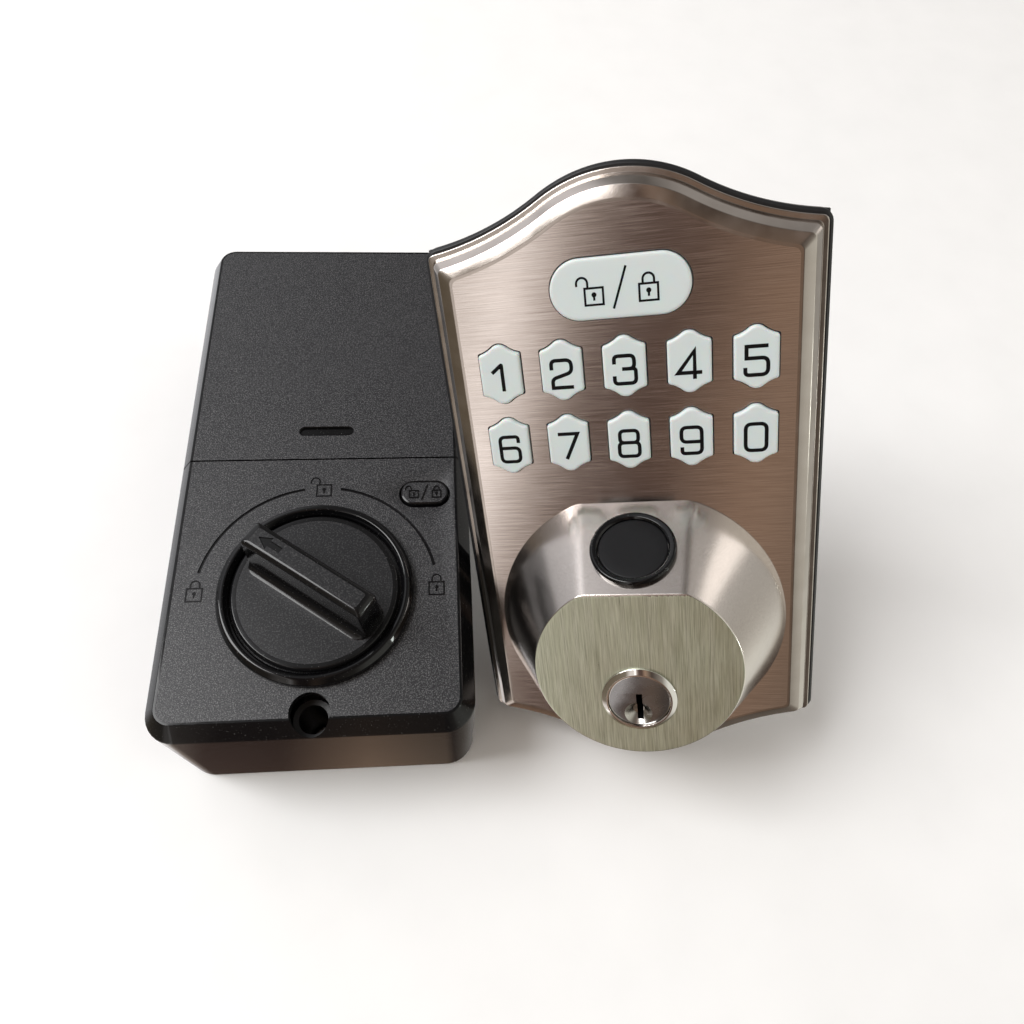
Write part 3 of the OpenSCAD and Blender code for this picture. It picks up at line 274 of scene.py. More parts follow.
def rounded_box(half_x, half_y, corner, middle=(0.0, 0.0), steps=STEPS):
    """Rectangle with round corners, anticlockwise."""
    points = []
    for quarter, (sx, sy) in enumerate(((1, 1), (-1, 1), (-1, -1), (1, -1))):
        points += arc(middle[0] + sx * (half_x - corner), middle[1] + sy * (half_y - corner),
                      corner, 90 * quarter, 90 * quarter + 90, steps)
    return points


def pill(size, grow=0.0, middle=(0.0, 0.0)):
    """Round-ended bar, anticlockwise."""
    return rounded_box(size[0] / 2 + grow, size[1] / 2 + grow, size[1] / 2 + grow - 0.01,
                       middle, 12)


def circle(radius, middle=(0.0, 0.0), steps=64):
    """Circle, anticlockwise."""
    return arc(middle[0], middle[1], radius, 0, 360 - 360 / steps, steps - 1)


def softened(points, radius, closed=False, steps=4):
    """The path with its corners rounded, where the radius may be one number or one a corner."""
    count = len(points)
    radii = radius if isinstance(radius, (list, tuple)) else [radius] * count
    out = []
    for i, point in enumerate(points):
        if not closed and i in (0, count - 1) or radii[i] <= 0:
            out.append(point)
            continue
        here = Vector(point)
        before = Vector(points[i - 1]) - here
        after = Vector(points[(i + 1) % count]) - here
        half = before.angle(after) / 2
        if half > radians(89.5):
            out.append(point)
            continue
        reach = min(radii[i] / max(0.001, sin(half) / cos(half)),
                    0.49 * before.length, 0.49 * after.length)
        start = here + before.normalized() * reach
        end = here + after.normalized() * reach
        for k in range(steps + 1):
            t = k / steps
            at = start * (1 - t) ** 2 + here * 2 * t * (1 - t) + end * t * t
            out.append((at.x, at.y))
    return out


def offset(points, distance, closed=False):
    """The path moved to its left by a distance, with mitred corners."""
    out = []
    count = len(points)
    for i in range(count):
        here = Vector(points[i])
        before = after = None
        if closed or i > 0:
            before = here - Vector(points[i - 1])
        if closed or i < count - 1:
            after = Vector(points[(i + 1) % count]) - here
        before = before or after
        after = after or before
        one = Vector((-before.y, before.x)).normalized()
        two = Vector((-after.y, after.x)).normalized()
        mid = (one + two).normalized()
        out.append(tuple(here + mid * distance / max(MITRE_LEAST, mid.dot(one))))
    return out


# ---------------- meshes

class Shape:
    """A mesh being drawn, in millimetres, whose loops run anticlockwise seen from above."""

    def __init__(self):
        self.bm = bmesh.new()

    def loop(self, points, height=None):
        """Vertices along a loop, from flat points at a height or from points in space."""
        if height is not None:
            points = [(x, y, height) for x, y in points]
        return [self.bm.verts.new(point) for point in points]

    def band(self, low, high, material=0, closed=True):
        """Faces between two loops of the same length."""
        count = len(low)
        for i in range(count if closed else count - 1):
            k = (i + 1) % count
            face = self.bm.faces.new((low[i], low[k], high[k], high[i]))
            face.material_index = material
            face.smooth = True

    def loft(self, loops, material=0):
        """Faces between each loop and the next."""
        for low, high in zip(loops, loops[1:]):
            self.band(low, high, material)

    def stack(self, outline, sides, material=0):
        """Lofts an outline through its (inset, height) pairs, and returns the loops."""
        loops = [self.loop(outline(inset), height) for inset, height in sides]
        self.loft(loops, material)
        return loops

    def fill(self, loops, material=0, down=False):
        """A flat panel inside the first loop and outside the others, with a crisp edge."""
        edges = []
        for loop in loops:
            for i, vert in enumerate(loop):
                pair = (vert, loop[(i + 1) % len(loop)])
                edges.append(self.bm.edges.get(pair) or self.bm.edges.new(pair))
        made = bmesh.ops.triangle_fill(self.bm, use_beauty=True, use_dissolve=False, edges=edges)
        for face in (part for part in made["geom"] if isinstance(part, bmesh.types.BMFace)):
            face.material_index = material
            face.normal_update()
            if (face.normal.z < 0) != down:
                face.normal_flip()
        for edge in edges:
            edge.smooth = False

    def prism(self, outline, low, high, material=0):
        """A closed slab between two heights."""
        base = self.loop(outline, low)
        top = self.loop(outline, high)
        self.band(base, top, material)
        self.fill([base], material, down=True)
        self.fill([top], material)

    def ribbon(self, outer, inner, low, high, material=0):
        """A closed frame-shaped slab between an outer and an inner outline of equal length."""
        loops = [self.loop(outer, low), self.loop(outer, high), self.loop(inner, high),
                 self.loop(inner, low)]
        self.loft(loops + loops[:1], material)

    def stroke(self, points, width, low, high, closed=False, material=0):
        """A drawn line of a given width, as a slab."""
        left = offset(points, width / 2, closed)
        right = offset(points, -width / 2, closed)
        if closed:
            self.ribbon(right, left, low, high, material)
            return
        self.prism_strip(right, left, low, high, material)

    def prism_strip(self, right, left, low, high, material):
        """A slab between two open sides of equal length."""
        rows = [self.loop(side, height) for side, height in
                ((right, low), (right, high), (left, high), (left, low))]
        for one, two in zip(rows, rows[1:] + rows[:1]):
            self.band(one, two, material, closed=False)
        for end, turned in ((0, False), (-1, True)):
            corners = [row[end] for row in rows]
            face = self.bm.faces.new(corners[::-1] if turned else corners)
            face.material_index = material

    def lathe(self, profile, steps=96, material=0, middle=(0.0, 0.0)):
        """A profile of (radius, height) turned about Z. A radius of 0 closes that end."""
        loops = []
        for radius, height in profile:
            if radius > 0:
                loops.append(self.loop(circle(radius, middle, steps), height))
            else:
                loops.append(self.bm.verts.new((middle[0], middle[1], height)))
        for low, high in zip(loops, loops[1:]):
            if isinstance(low, list) and isinstance(high, list):
                self.band(low, high, material)
                continue
            ring, tip = (low, high) if isinstance(low, list) else (high, low)
            for i in range(steps):
                face = self.bm.faces.new((ring[i], ring[(i + 1) % steps], tip))
                face.material_index = material
                face.smooth = True
        return loops

    def turned_ring(self, profile, steps=96, middle=(0.0, 0.0)):
        """A closed ring turned about Z, from the (radius, height) points round its section."""
        loops = self.lathe(profile, steps, 0, middle)
        self.band(loops[-1], loops[0])

    def mesh(self, name, materials):
        """The drawing as a mesh, still in millimetres. It ends the drawing."""
        bmesh.ops.recalc_face_normals(self.bm, faces=self.bm.faces)
        mesh = bpy.data.meshes.new(name)
        self.bm.to_mesh(mesh)
        self.bm.free()
        for material in materials:
            mesh.materials.append(material)
        return mesh

    def piece(self, name, body, materials, place, nodes=(), crease=40.0, cutters=()):
        """Turns the drawing into an object that rides on a body and stands for CAD nodes."""
        mesh = self.mesh(name, materials)
        crisp = set()
        if cutters:
            mesh = carved(mesh, [cutter.mesh("cutter", materials) for cutter in cutters])
            mesh.name = name
        else:
            crisp = {edge.index for edge in mesh.edges if edge.use_edge_sharp}
        mesh.transform(place)
        for polygon in mesh.polygons:
            polygon.use_smooth = True
        mesh.set_sharp_from_angle(angle=radians(crease))
        sharp = mesh.attributes.get("sharp_edge")
        if sharp is None:
            sharp = mesh.attributes.new("sharp_edge", "BOOLEAN", "EDGE")
        for index in crisp:
            sharp.data[index].value = True
        made = added(name, mesh)
        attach(made, body)
        if nodes:
            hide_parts(*nodes)
        return made


def carved(mesh, cutters):
    """The mesh with each cutter's volume taken away, as a new mesh."""
    body = added("carving", mesh)
    tools = [added("cutter", cutter) for cutter in cutters]
    for tool in tools:
        cut = body.modifiers.new("cut", "BOOLEAN")
        cut.operation = "DIFFERENCE"
        cut.solver = "EXACT"
        cut.object = tool
    graph = bpy.context.evaluated_depsgraph_get()
    made = bpy.data.meshes.new_from_object(body.evaluated_get(graph), depsgraph=graph)
    for helper in [body] + tools:
        bpy.data.objects.remove(helper)
    return made


# ---------------- materials

class Finish:
    """A procedural material on one Principled shader."""

    def __init__(self, name, **sockets):
        self.material = bpy.data.materials.new(name)
        self.material.use_nodes = True
        self.tree = self.material.node_tree
        self.tree.nodes.clear()
        self.shader = self.node("BsdfPrincipled", **sockets)
        output = self.node("OutputMaterial")
        self.tree.links.new(self.shader.outputs[0], output.inputs["Surface"])
        self.bump_chain = None
        self.place = self.node("TexCoord").outputs["Object"]

    def node(self, kind, settings=(), **sockets):
        """A node with its settings and sockets set. A socket given another node's is linked."""
        made = self.tree.nodes.new("ShaderNode" + kind)
        for key, value in dict(settings).items():
            setattr(made, key, value)
        for key, value in sockets.items():
            self.put(made.inputs[key.replace("_", " ")], value)
        return made

    def put(self, socket, value):
        """Links or sets one socket."""
        if isinstance(value, bpy.types.NodeSocket):
            self.tree.links.new(value, socket)
        elif socket.type == "RGBA" and len(value) == 3:
            socket.default_value = (*value, 1.0)
        else:
            socket.default_value = value

    def grain(self, place, along, scale, stretch, detail, rough):
        """Noise drawn out along one axis of a unit, with its scale in features a metre."""
        scales = [scale] * 3
        scales[along] = scale / stretch
        location, rotation, _ = place.decompose()
        own = self.node("Mapping", {"vector_type": "TEXTURE"}, Vector=self.place,
                        Location=location, Rotation=rotation.to_euler("XYZ"))
        drawn = self.node("VectorMath", {"operation": "MULTIPLY"})
        self.put(drawn.inputs[0], own.outputs[0])
        self.put(drawn.inputs[1], scales)
        return self.node("TexNoise", Vector=drawn.outputs[0], Scale=1.0, Detail=detail,
                         Roughness=rough).outputs[0]

    def noise(self, size, detail=2.0, rough=0.5):
        """Noise between 0 and 1 with features of a size in millimetres."""
        made = self.node("TexNoise", Vector=self.place, Scale=1 / (size * MM),
                         Detail=detail, Roughness=rough)
        return made.outputs[0]

    def spread(self, value, low, high, start=0.3, end=0.7):
        """The value from start to end, turned into low to high."""
        made = self.node("MapRange", Value=value, From_Min=start, From_Max=end, To_Min=low,
                         To_Max=high)
        return made.outputs[0]

    def colours(self, value, first, second):
        """A colour between two, chosen by a value from 0 to 1."""
        made = self.node("Mix", {"data_type": "RGBA"})
        self.put(made.inputs[0], value)
        self.put(made.inputs[6], first)
        self.put(made.inputs[7], second)
        return made.outputs[2]

    def math(self, operation, first, second):
        """A value put together with another."""
        made = self.node("Math", {"operation": operation})
        self.put(made.inputs[0], first)
        self.put(made.inputs[1], second)
        return made.outputs[0]

    def base(self, colour):
        """Sets the base colour from a socket."""
        self.put(self.shader.inputs["Base Color"], colour)
        return self

    def rough(self, value):
        """Sets the roughness from a socket."""
        self.put(self.shader.inputs["Roughness"], value)
        return self

    def bump(self, height, depth, strength=1.0):
        """Adds relief of a depth in millimetres."""
        made = self.node("Bump", Height=height, Distance=depth * MM, Strength=strength)
        if self.bump_chain is not None:
            self.put(made.inputs["Normal"], self.bump_chain)
        self.bump_chain = made.outputs[0]
        self.put(self.shader.inputs["Normal"], self.bump_chain)
        return self


def mixed(colour, share, other):
    """A colour a share of the way to another."""
    return tuple(a + (b - a) * share for a, b in zip(colour, other))


def brushed(name, colour, place, along, rough=(0.2, 0.4), stretch=60, anisotropic=0.6, tone=0.16):
    """Brushed metal, with fine scratches along one axis of a unit."""
    made = Finish(name, Metallic=1.0, Anisotropic=anisotropic)
    scratches = made.grain(place, along, 5500.0, stretch, 3.0, 0.65)
    streaks = made.grain(place, along, 1400.0, stretch, 2.0, 0.5)
    clouds = made.noise(14.0, detail=3.0)
    dark = mixed(colour, tone, (0, 0, 0))
    light = mixed(colour, tone, (1, 1, 1))
    toned = made.colours(made.spread(scratches, 0.0, 1.0), dark, light)
    made.base(made.colours(made.spread(streaks, 0.0, 0.3), toned, mixed(colour, 0.1, (1, 1, 1))))
    low, high = rough[0] / 2, rough[1] / 2
    made.rough(made.math("ADD", made.spread(scratches, low, high),
                         made.spread(clouds, low, high)))
    made.bump(scratches, 0.004, 0.6)
    across = [0.0, 0.0, 0.0]
    across[along] = 1.0
    turn = place.to_3x3().normalized() @ Vector(across)
    tangent = made.node("CombineXYZ", X=turn.x, Y=turn.y, Z=turn.z)
    made.put(made.shader.inputs["Tangent"], tangent.outputs[0])
    made.shader.inputs["Anisotropic Rotation"].default_value = 0.25
    return made.material


def polished(name, colour, rough=(0.06, 0.16), metallic=1.0, wave=0.01):
    """Polished metal or gloss plastic, with smudges and a faint waviness."""
    made = Finish(name, Metallic=metallic)
    smudges = made.noise(5.0, detail=4.0)
    pits = made.noise(0.5, detail=2.0)
    made.base(made.colours(made.spread(smudges, 0.0, 1.0), mixed(colour, 0.08, (0, 0, 0)),
                           mixed(colour, 0.06, (1, 1, 1))))
    made.rough(made.spread(smudges, *rough))
    made.bump(made.noise(3.0, detail=1.0), wave, 0.5)
    made.bump(pits, 0.0015, 0.4)
    return made.material


def moulded(name, colour, rough=(0.4, 0.55), grain=0.35, depth=0.02, painted_glint=0.0, **sockets):
    """Moulded plastic or rubber with a fine texture, dust, and a few lighter grains that are
    painted glints.
    """
    made = Finish(name, **sockets)
    fine = made.noise(grain, detail=3.0, rough=0.6)
    broad = made.noise(18.0, detail=3.0)
    shade = made.colours(made.spread(broad, 0.0, 1.0), mixed(colour, 0.03, (0, 0, 0)),
                         mixed(colour, 0.001, (1, 1, 1)))
    # Lighter specks in the base colour stand in for glints off the texture: painted glints.
    if painted_glint:
        glint_specks = made.spread(made.noise(grain * 0.8, detail=1.0), 0.0, 1.0, 0.5, 0.72)
        shade = made.colours(glint_specks, shade, mixed(colour, painted_glint, (1, 1, 1)))
    made.base(shade)
    made.rough(made.spread(fine, *rough))
    made.bump(fine, depth, 0.7)
    return made.material


def dusty_gloss(name, colour, rough=(0.05, 0.16), level=0.5):
    """Gloss black plastic with faint smears and specks of dust."""
    made = Finish(name, IOR=1.5, Specular_IOR_Level=level)
    smears = made.noise(4.0, detail=4.0, rough=0.6)
    dust = made.spread(made.noise(0.35, detail=1.0), 0.0, 1.0, 0.71, 0.76)
    made.base(made.colours(dust, colour, (0.06, 0.06, 0.058)))
    specks = made.math("MULTIPLY", dust, 0.6)
    made.rough(made.math("MAXIMUM", made.spread(smears, *rough), specks))
    made.bump(made.noise(6.0, detail=1.0), 0.02, 0.4)
    return made.material


NICKEL = (0.62, 0.55, 0.51)
UNTURNED = Matrix.Identity(4)

plate_face = brushed("brushed_plate", NICKEL, AXES, 0, (0.13, 0.24), 60, 0.7, 0.3)
plate_rim = polished("polished_rim", (0.46, 0.415, 0.38), (0.16, 0.27))
# Painted shade: the windows' walls and soft lips take a dark colour for the shade in the gaps
# round the keys.
window_wall_painted_shade = polished("window_wall_painted_shade", (0.16, 0.13, 0.12), (0.3, 0.45))
boss_side = brushed("satin_boss", (0.66, 0.6, 0.56), AXES, 2, (0.14, 0.24), 20, 0.3, 0.12)
boss_face = brushed("brushed_disc", (0.86, 0.96, 0.72), AXES, 1, (0.26, 0.42), 45, 0.75, 0.45)
chrome = polished("chrome", (0.74, 0.72, 0.7), (0.04, 0.1))
plug_face = polished("plug_face", (0.3, 0.3, 0.31), (0.22, 0.32))
dimple_side = polished("dimple_side", (0.42, 0.4, 0.37), (0.2, 0.3))
brass = polished("brass", (0.66, 0.46, 0.2), (0.18, 0.35))
steel = polished("bright_steel", (0.55, 0.56, 0.57), (0.22, 0.4))
zinc = brushed("zinc_plate", (0.5, 0.52, 0.54), UNTURNED, 0, (0.3, 0.5), 8, 0.2)
key_face = moulded("key_plastic", (0.66, 0.73, 0.73), (0.28, 0.4), 0.6, 0.004,
                   Subsurface_Weight=0.25, Subsurface_Scale=0.002, IOR=1.46)
# Black ink for the prints. It also paints the keyway's walls black, as painted shade inside the
# slot.
ink_and_keyway_shade = moulded("black_ink_and_keyway_shade", (0.003, 0.003, 0.0035), (0.4, 0.55), 0.2, 0.002, 0.0,
              Specular_IOR_Level=0.15)
# Its lighter specks, like those of the satin turn below, are painted glints.
case_face = moulded("textured_case", (0.0035, 0.0035, 0.006), (0.36, 0.48), 0.3, 0.07, 0.14,
                    Specular_IOR_Level=0.5)
case_gloss = dusty_gloss("gloss_case", (0.005, 0.005, 0.0055), (0.06, 0.16), 0.25)
ring_gloss = dusty_gloss("gloss_ring", (0.003, 0.003, 0.0035), (0.03, 0.08), 0.35)
mark_gloss = dusty_gloss("gloss_marks", (0.005, 0.005, 0.0055), (0.15, 0.25), 0.25)
turn_satin = moulded("satin_turn", (0.005, 0.005, 0.0065), (0.3, 0.4), 0.4, 0.006, 0.04,
                     Specular_IOR_Level=0.4)
turn_side = dusty_gloss("gloss_turn", (0.005, 0.005, 0.0055), (0.1, 0.2), 0.32)
sensor_skin = moulded("sensor_skin", (0.006, 0.006, 0.007), (0.4, 0.55), 0.7, 0.03, 0.0,
                      Specular_IOR_Level=0.2)
black_plastic = moulded("black_plastic", (0.009, 0.009, 0.01), (0.35, 0.5), 0.5, 0.012, 0.0,
                        Specular_IOR_Level=0.35)
foam = moulded("foam", (0.03, 0.03, 0.031), (0.85, 0.95), 0.6, 0.12)
silicone = moulded("silicone", (0.62, 0.66, 0.66), (0.5, 0.65), 0.8, 0.01)
board = moulded("circuit_board", (0.02, 0.13, 0.06), (0.3, 0.45), 1.2, 0.01)
nylon = moulded("nylon", (0.72, 0.7, 0.62), (0.35, 0.5), 0.7, 0.01)
sleeve = moulded("cell_sleeve", (0.05, 0.06, 0.09), (0.22, 0.35), 2.0, 0.004)


# ---------------- signs and digits

DIGIT_WIDTH = 0.75
DIGITS = {
    "1": [([(-1.75, 1.1), (0.35, 2.75), (0.35, -2.8)], 0.1, False)],
    "2": [([(-2.0, 0.9), (-2.0, 2.8), (2.0, 2.8), (2.0, 0.25), (-1.95, -0.95), (-1.95, -2.8),
            (2.2, -2.8)], [0, 1.2, 1.2, 1.3, 1.1, 0, 0], False)],
    "3": [([(-2.0, 1.2), (-2.0, 2.8), (1.9, 2.8), (1.9, 0.15), (-0.5, 0.15)], 1.0, False),
          ([(0.9, 0.15), (2.15, 0.15), (2.15, -2.8), (-2.05, -2.8), (-2.05, -1.2)], 1.0, False)],
    "4": [([(0.95, -2.8), (0.95, 2.8), (-2.25, -1.5), (2.35, -1.5)], 0.0, False)],
    "5": [([(2.1, 2.8), (-1.9, 2.8), (-1.9, 0.5), (2.1, 0.5), (2.1, -2.8), (-2.1, -2.8),
            (-2.1, -1.3)], [0, 0, 0, 1.2, 1.2, 1.0, 0], False)],
    "6": [([(1.9, 1.4), (1.9, 2.8), (-2.0, 2.8), (-2.0, -2.8), (2.0, -2.8), (2.0, 0.3),
            (-1.9, 0.3)], 1.1, False)],
    "7": [([(-2.1, 2.8), (2.0, 2.8), (-0.6, -2.8)], 0.0, False)],
    "8": [([(1.85, 0.2), (1.85, 2.8), (-1.85, 2.8), (-1.85, 0.2)], 0.95, True),
          ([(2.05, -2.8), (2.05, 0.2), (-2.05, 0.2), (-2.05, -2.8)], 0.95, True)],
    "9": [([(-1.9, -1.4), (-1.9, -2.8), (2.0, -2.8), (2.0, 2.8), (-2.0, 2.8), (-2.0, -0.3),
            (1.9, -0.3)], 1.1, False)],
    "0": [([(2.0, -2.8), (2.0, 2.8), (-2.0, 2.8), (-2.0, -2.8)], 1.2, True)],
}


def moved(points, shift):
    """Flat points moved by a shift."""
    return [(x + shift[0], y + shift[1]) for x, y in points]


def draw_strokes(shape, strokes, shift, width, low, high):
    """Draws lines, each a little higher than the last, so that no two share a top."""
    for level, (points, radius, closed) in enumerate(strokes):
        path = softened(moved(points, shift), radius, closed, 6)
        shape.stroke(path, width, low, high + 0.004 * level, closed)


def padlock(width, is_open, line):
    """Strokes of a padlock sign round its body's middle, closed or swung open to the left."""
    half = (width - line) / 2
    half_high = 0.46 * width - line / 2
    bow = 0.27 * width
    foot = half_high + 0.02 * width
    centre = -0.56 * width if is_open else 0.0
    lift = half_high + (0.26 if is_open else 0.22) * width
    legs = [(centre + bow, foot)] + arc(centre, lift, bow, 0, 180, 12)
    legs += [(centre - bow, lift - 0.14 * width if is_open else foot)]
    body = [(half, -half_high), (half, half_high), (-half, half_high), (-half, -half_high)]
    return [(body, 0.0, True), (legs, 0.0, False),
            ([(0.0, 0.1 * width), (0.0, -0.2 * width)], 0.0, False),
            (arc(0.0, 0.08 * width, 0.07 * width, 0, 324, 9), 0.0, True)]


def draw_locks(shape, signs, width, line, low, high):
    """Draws padlock signs, each given as its place and whether it is open."""
    for spot, is_open in signs:
        draw_strokes(shape, padlock(width, is_open, line), spot, line, low, high)


# ---------------- exterior unit

def key_place(index):
    """Middle of a digit key, counted from 0 at the upper left."""
    return ((index % 5 - 2) * KEY_PITCH[0],
            KEY_MIDDLE + (0.5 if index < 5 else -0.5) * KEY_PITCH[1])


def key_outline(inset):
    """Outline of a digit key round its own middle."""
    return arched(KEY, inset, KEY_CORNER, 0, KEY_STEPS)


def plate_outline(inset, corner):
    """Outline of the plate, inset all round."""
    return arched(PLATE, inset, corner, PLATE_MIDDLE, PLATE_STEPS)


def window(shape, outline):
    """Wall of a window with a soft lip, both dark with painted shade. Returns the loops at the
    face and at the rear.
    """
    loops = shape.stack(outline, WINDOW_LIP, 2)
    return loops[0], loops[-1]


def build_plate():
    """Metal front plate: polished rim, brushed face, windows, and a pocket behind."""
    shape = Shape()
    rim = shape.stack(lambda inset: plate_outline(inset, PLATE_CORNER),
                      softened(RIM, RIM_SOFT, steps=3), 1)
    tops, rears = [], []
    for index in range(len(DIGITS)):
        x, y = key_place(index)
        top, rear = window(shape, lambda grow: moved(key_outline(-KEY_GAP - grow), (x, y)))
        tops.append(top)
        rears.append(rear)
    top, rear = window(shape, lambda grow: pill(TOGGLE, KEY_GAP + grow, (0, TOGGLE_MIDDLE)))
    tops.append(top)
    rears.append(rear)
    opening = circle(BOSS_OPENING, (0, BOSS_MIDDLE), 96)
    top, rear = shape.loop(opening, FACE), shape.loop(opening, REAR_FACE)
    shape.band(top, rear, 1)
    tops.append(top)
    rears.append(rear)
    pocket = plate_outline(POCKET_INSET, PLATE_CORNER)
    ceiling = shape.loop(pocket, REAR_FACE)
    floor = shape.loop(pocket, SEAM)
    shape.fill([rim[-1]] + tops, 0)
    shape.fill([ceiling] + rears, 1, down=True)
    shape.band(ceiling, floor, 1)
    shape.band(floor, rim[0], 1)
    shape.piece("plate", "base", [plate_face, plate_rim, window_wall_painted_shade], EXTERIOR,
                ("ext_escutcheon",), 50)


def build_back_housing():
    """Black housing behind the plate, with round corners and a soft front edge."""
    shape = Shape()
    inset = HOUSING_INSET
    base = node_heights("ext_back_housing")[0]
    sides = [(inset + 0.3, base), (inset, base + 0.4), (inset, SEAM - 0.5), (inset + 0.5, SEAM),
             (3.0, SEAM)]
    loops = shape.stack(lambda grow: plate_outline(grow, HOUSING_CORNER),
                        softened(sides, HOUSING_SOFT, steps=3))
    opening = circle(HOUSING_OPENING)
    holes = [shape.loop(opening, height) for height in (SEAM, base)]
    shape.loft(holes)
    shape.fill([loops[-1], holes[0]])
    shape.fill([loops[0], holes[1]], down=True)
    shape.piece("rear_housing", "base", [black_plastic], EXTERIOR,
                ("ext_back_housing",), 50)


def facet_drop(point, depth):
    """How far a point of the boss lies beyond the reader's facet, eased over a soft edge."""
    soft = FACET_SOFT
    lean = radians(FACET_LEAN)
    normal = Vector((0, cos(lean), sin(lean)))
    beyond = (Vector(point) - Vector((0, FACET_BASE, FACE))).dot(normal) + depth
    if beyond > soft:
        return beyond * normal
    if beyond > -soft:
        return (beyond + soft) ** 2 / (4 * soft) * normal
    return 0 * normal


def dense(profile, step):
    """A path with points added so that none are further apart than a step."""
    out = [profile[0]]
    for start, end in zip(profile, profile[1:]):
        count = max(1, int(hypot(end[0] - start[0], end[1] - start[1]) / step))
        out += [(start[0] + (end[0] - start[0]) * i / count,
                 start[1] + (end[1] - start[1]) * i / count) for i in range(1, count + 1)]
    return out


def build_boss():
    """Conical boss with a soft-edged facet and a brushed disc, hollow behind."""
    shape = Shape()
    slant = hypot(BOSS_BASE - BOSS_DISC, BOSS_HEIGHT)
    wall = BOSS_WALL * slant / BOSS_HEIGHT
    sides = [(BOSS_BASE - BOSS_FOOT[0], FACE), (BOSS_BASE, FACE + BOSS_FOOT[1]),
             (BOSS_DISC, DISC), (BOSS_FLAT, DISC)]
    outer = dense(softened(sides, BOSS_SOFT, steps=7), BOSS_RING_GAP[0])
    lining = [(BOSS_FLAT_REAR, DISC - BOSS_WALL), (BOSS_DISC - wall, DISC - BOSS_WALL),
              (BOSS_BASE - wall, FACE)]
    inner = dense(lining, BOSS_RING_GAP[1])
    loops = []
    for profile, depth in ((outer, 0.0), (inner, BOSS_WALL)):
        for radius, height in profile:
            points = [Vector((x, y, height))
                      for x, y in circle(radius, (0, BOSS_MIDDLE), BOSS_STEPS)]
            loops.append(shape.loop([p - facet_drop(p, depth) for p in points]))
    split = len(outer)
    shape.loft(loops[:split], 0)
    shape.loft(loops[split:], 0)
    shape.band(loops[-1], loops[0], 0)
    lip = [shape.loop(circle(COLLAR_RADIUS + 0.02, steps=96), height)
           for height in (DISC, DISC - BOSS_WALL)]
    for face in shape.bm.faces:
        if all(vert.co.z > DISC - 0.06 for vert in face.verts):
            face.material_index = 1
    shape.band(lip[1], lip[0], 0)
    shape.fill([loops[split - 1], lip[0]], 1)
    shape.fill([loops[split], lip[1]], 0, down=True)
    for edge in shape.bm.edges:
        edge.smooth = True
    shape.piece("boss", "base", [boss_side, boss_face], EXTERIOR, ("ext_boss",), 50)


def build_key(name, body, node, outline, edge):
    """A key: its flange behind the plate, its wall and its rounded top edge."""
    sides = [(-KEY_FLANGE, KEY_BASE), (-KEY_FLANGE, KEY_FLANGE_TOP), (0.0, KEY_FLANGE_TOP)]
    sides += [(inset, KEY_TOP - drop) for inset, drop in edge]
    shape = Shape()
    loops = shape.stack(outline, sides)
    shape.fill([loops[0]], down=True)
    shape.fill([loops[-1]])
    shape.piece(name, body, [key_face], EXTERIOR, (node,))


def build_keys():
    """Ten digit keys, and the wide key with its two padlocks and slash."""
    low, high = KEY_TOP - PRINT_SUNK, KEY_TOP + PRINT_RISE
    for index, digit in enumerate("1234567890"):
        x, y = key_place(index)
        body = f"key_{digit}_body"
        build_key(f"key_cap_{digit}", body, f"key_{digit}",
                  lambda inset: moved(key_outline(inset), (x, y)), KEY_EDGE)
        signs = Shape()
        draw_strokes(signs, DIGITS[digit], (x, y - DIGIT_DROP), DIGIT_WIDTH, low, high)
        signs.piece(f"digit_{digit}", body, [ink_and_keyway_shade], EXTERIOR)
    build_key("wide_key_cap", "toggle_key_body", "key_lock_toggle",
              lambda inset: pill(TOGGLE, -inset, (0, TOGGLE_MIDDLE)), TOGGLE_EDGE)
    signs = Shape()
    draw_locks(signs, TOGGLE_LOCKS, 3.9, 0.42, low, high)
    signs.stroke(TOGGLE_SLASH, 0.45, low, high)
    signs.piece("wide_key_signs", "toggle_key_body", [ink_and_keyway_shade], EXTERIOR)


def build_reader():
    """Fingerprint reader: gloss bezel and a textured touch surface."""
    bezel = Shape()
    inner = READER_RADIUS - BEZEL_WIDTH
    sides = [(inner, BEZEL_FOOT), (inner, 0.75), (inner + 0.35, 1.15), (READER_RADIUS - 0.35, 1.3),
             (READER_RADIUS, 0.75), (READER_RADIUS, BEZEL_FOOT)]
    bezel.turned_ring(softened(sides, BEZEL_SOFT)[::-1])
    bezel.piece("reader_bezel", "base", [ring_gloss], FACET,
                ("fingerprint_bezel",), 50)
    pad = Shape()
    radius = inner - 0.05
    pad.lathe([(0, PAD_FOOT), (radius, PAD_FOOT)]
              + [(radius - inset, height) for inset, height in PAD_EDGE]
              + [(radius * share, height) for share, height in PAD_DISH])
    pad.piece("reader_pad", "base", [sensor_skin], FACET,
              ("fingerprint_sensor",), 50)


def drill(middle, profile, material):
    """A turned cutter with a flat top."""
    tool = Shape()
    loops = tool.lathe(profile, 64, material, middle)
    tool.fill([loops[-1]], material)
    return tool


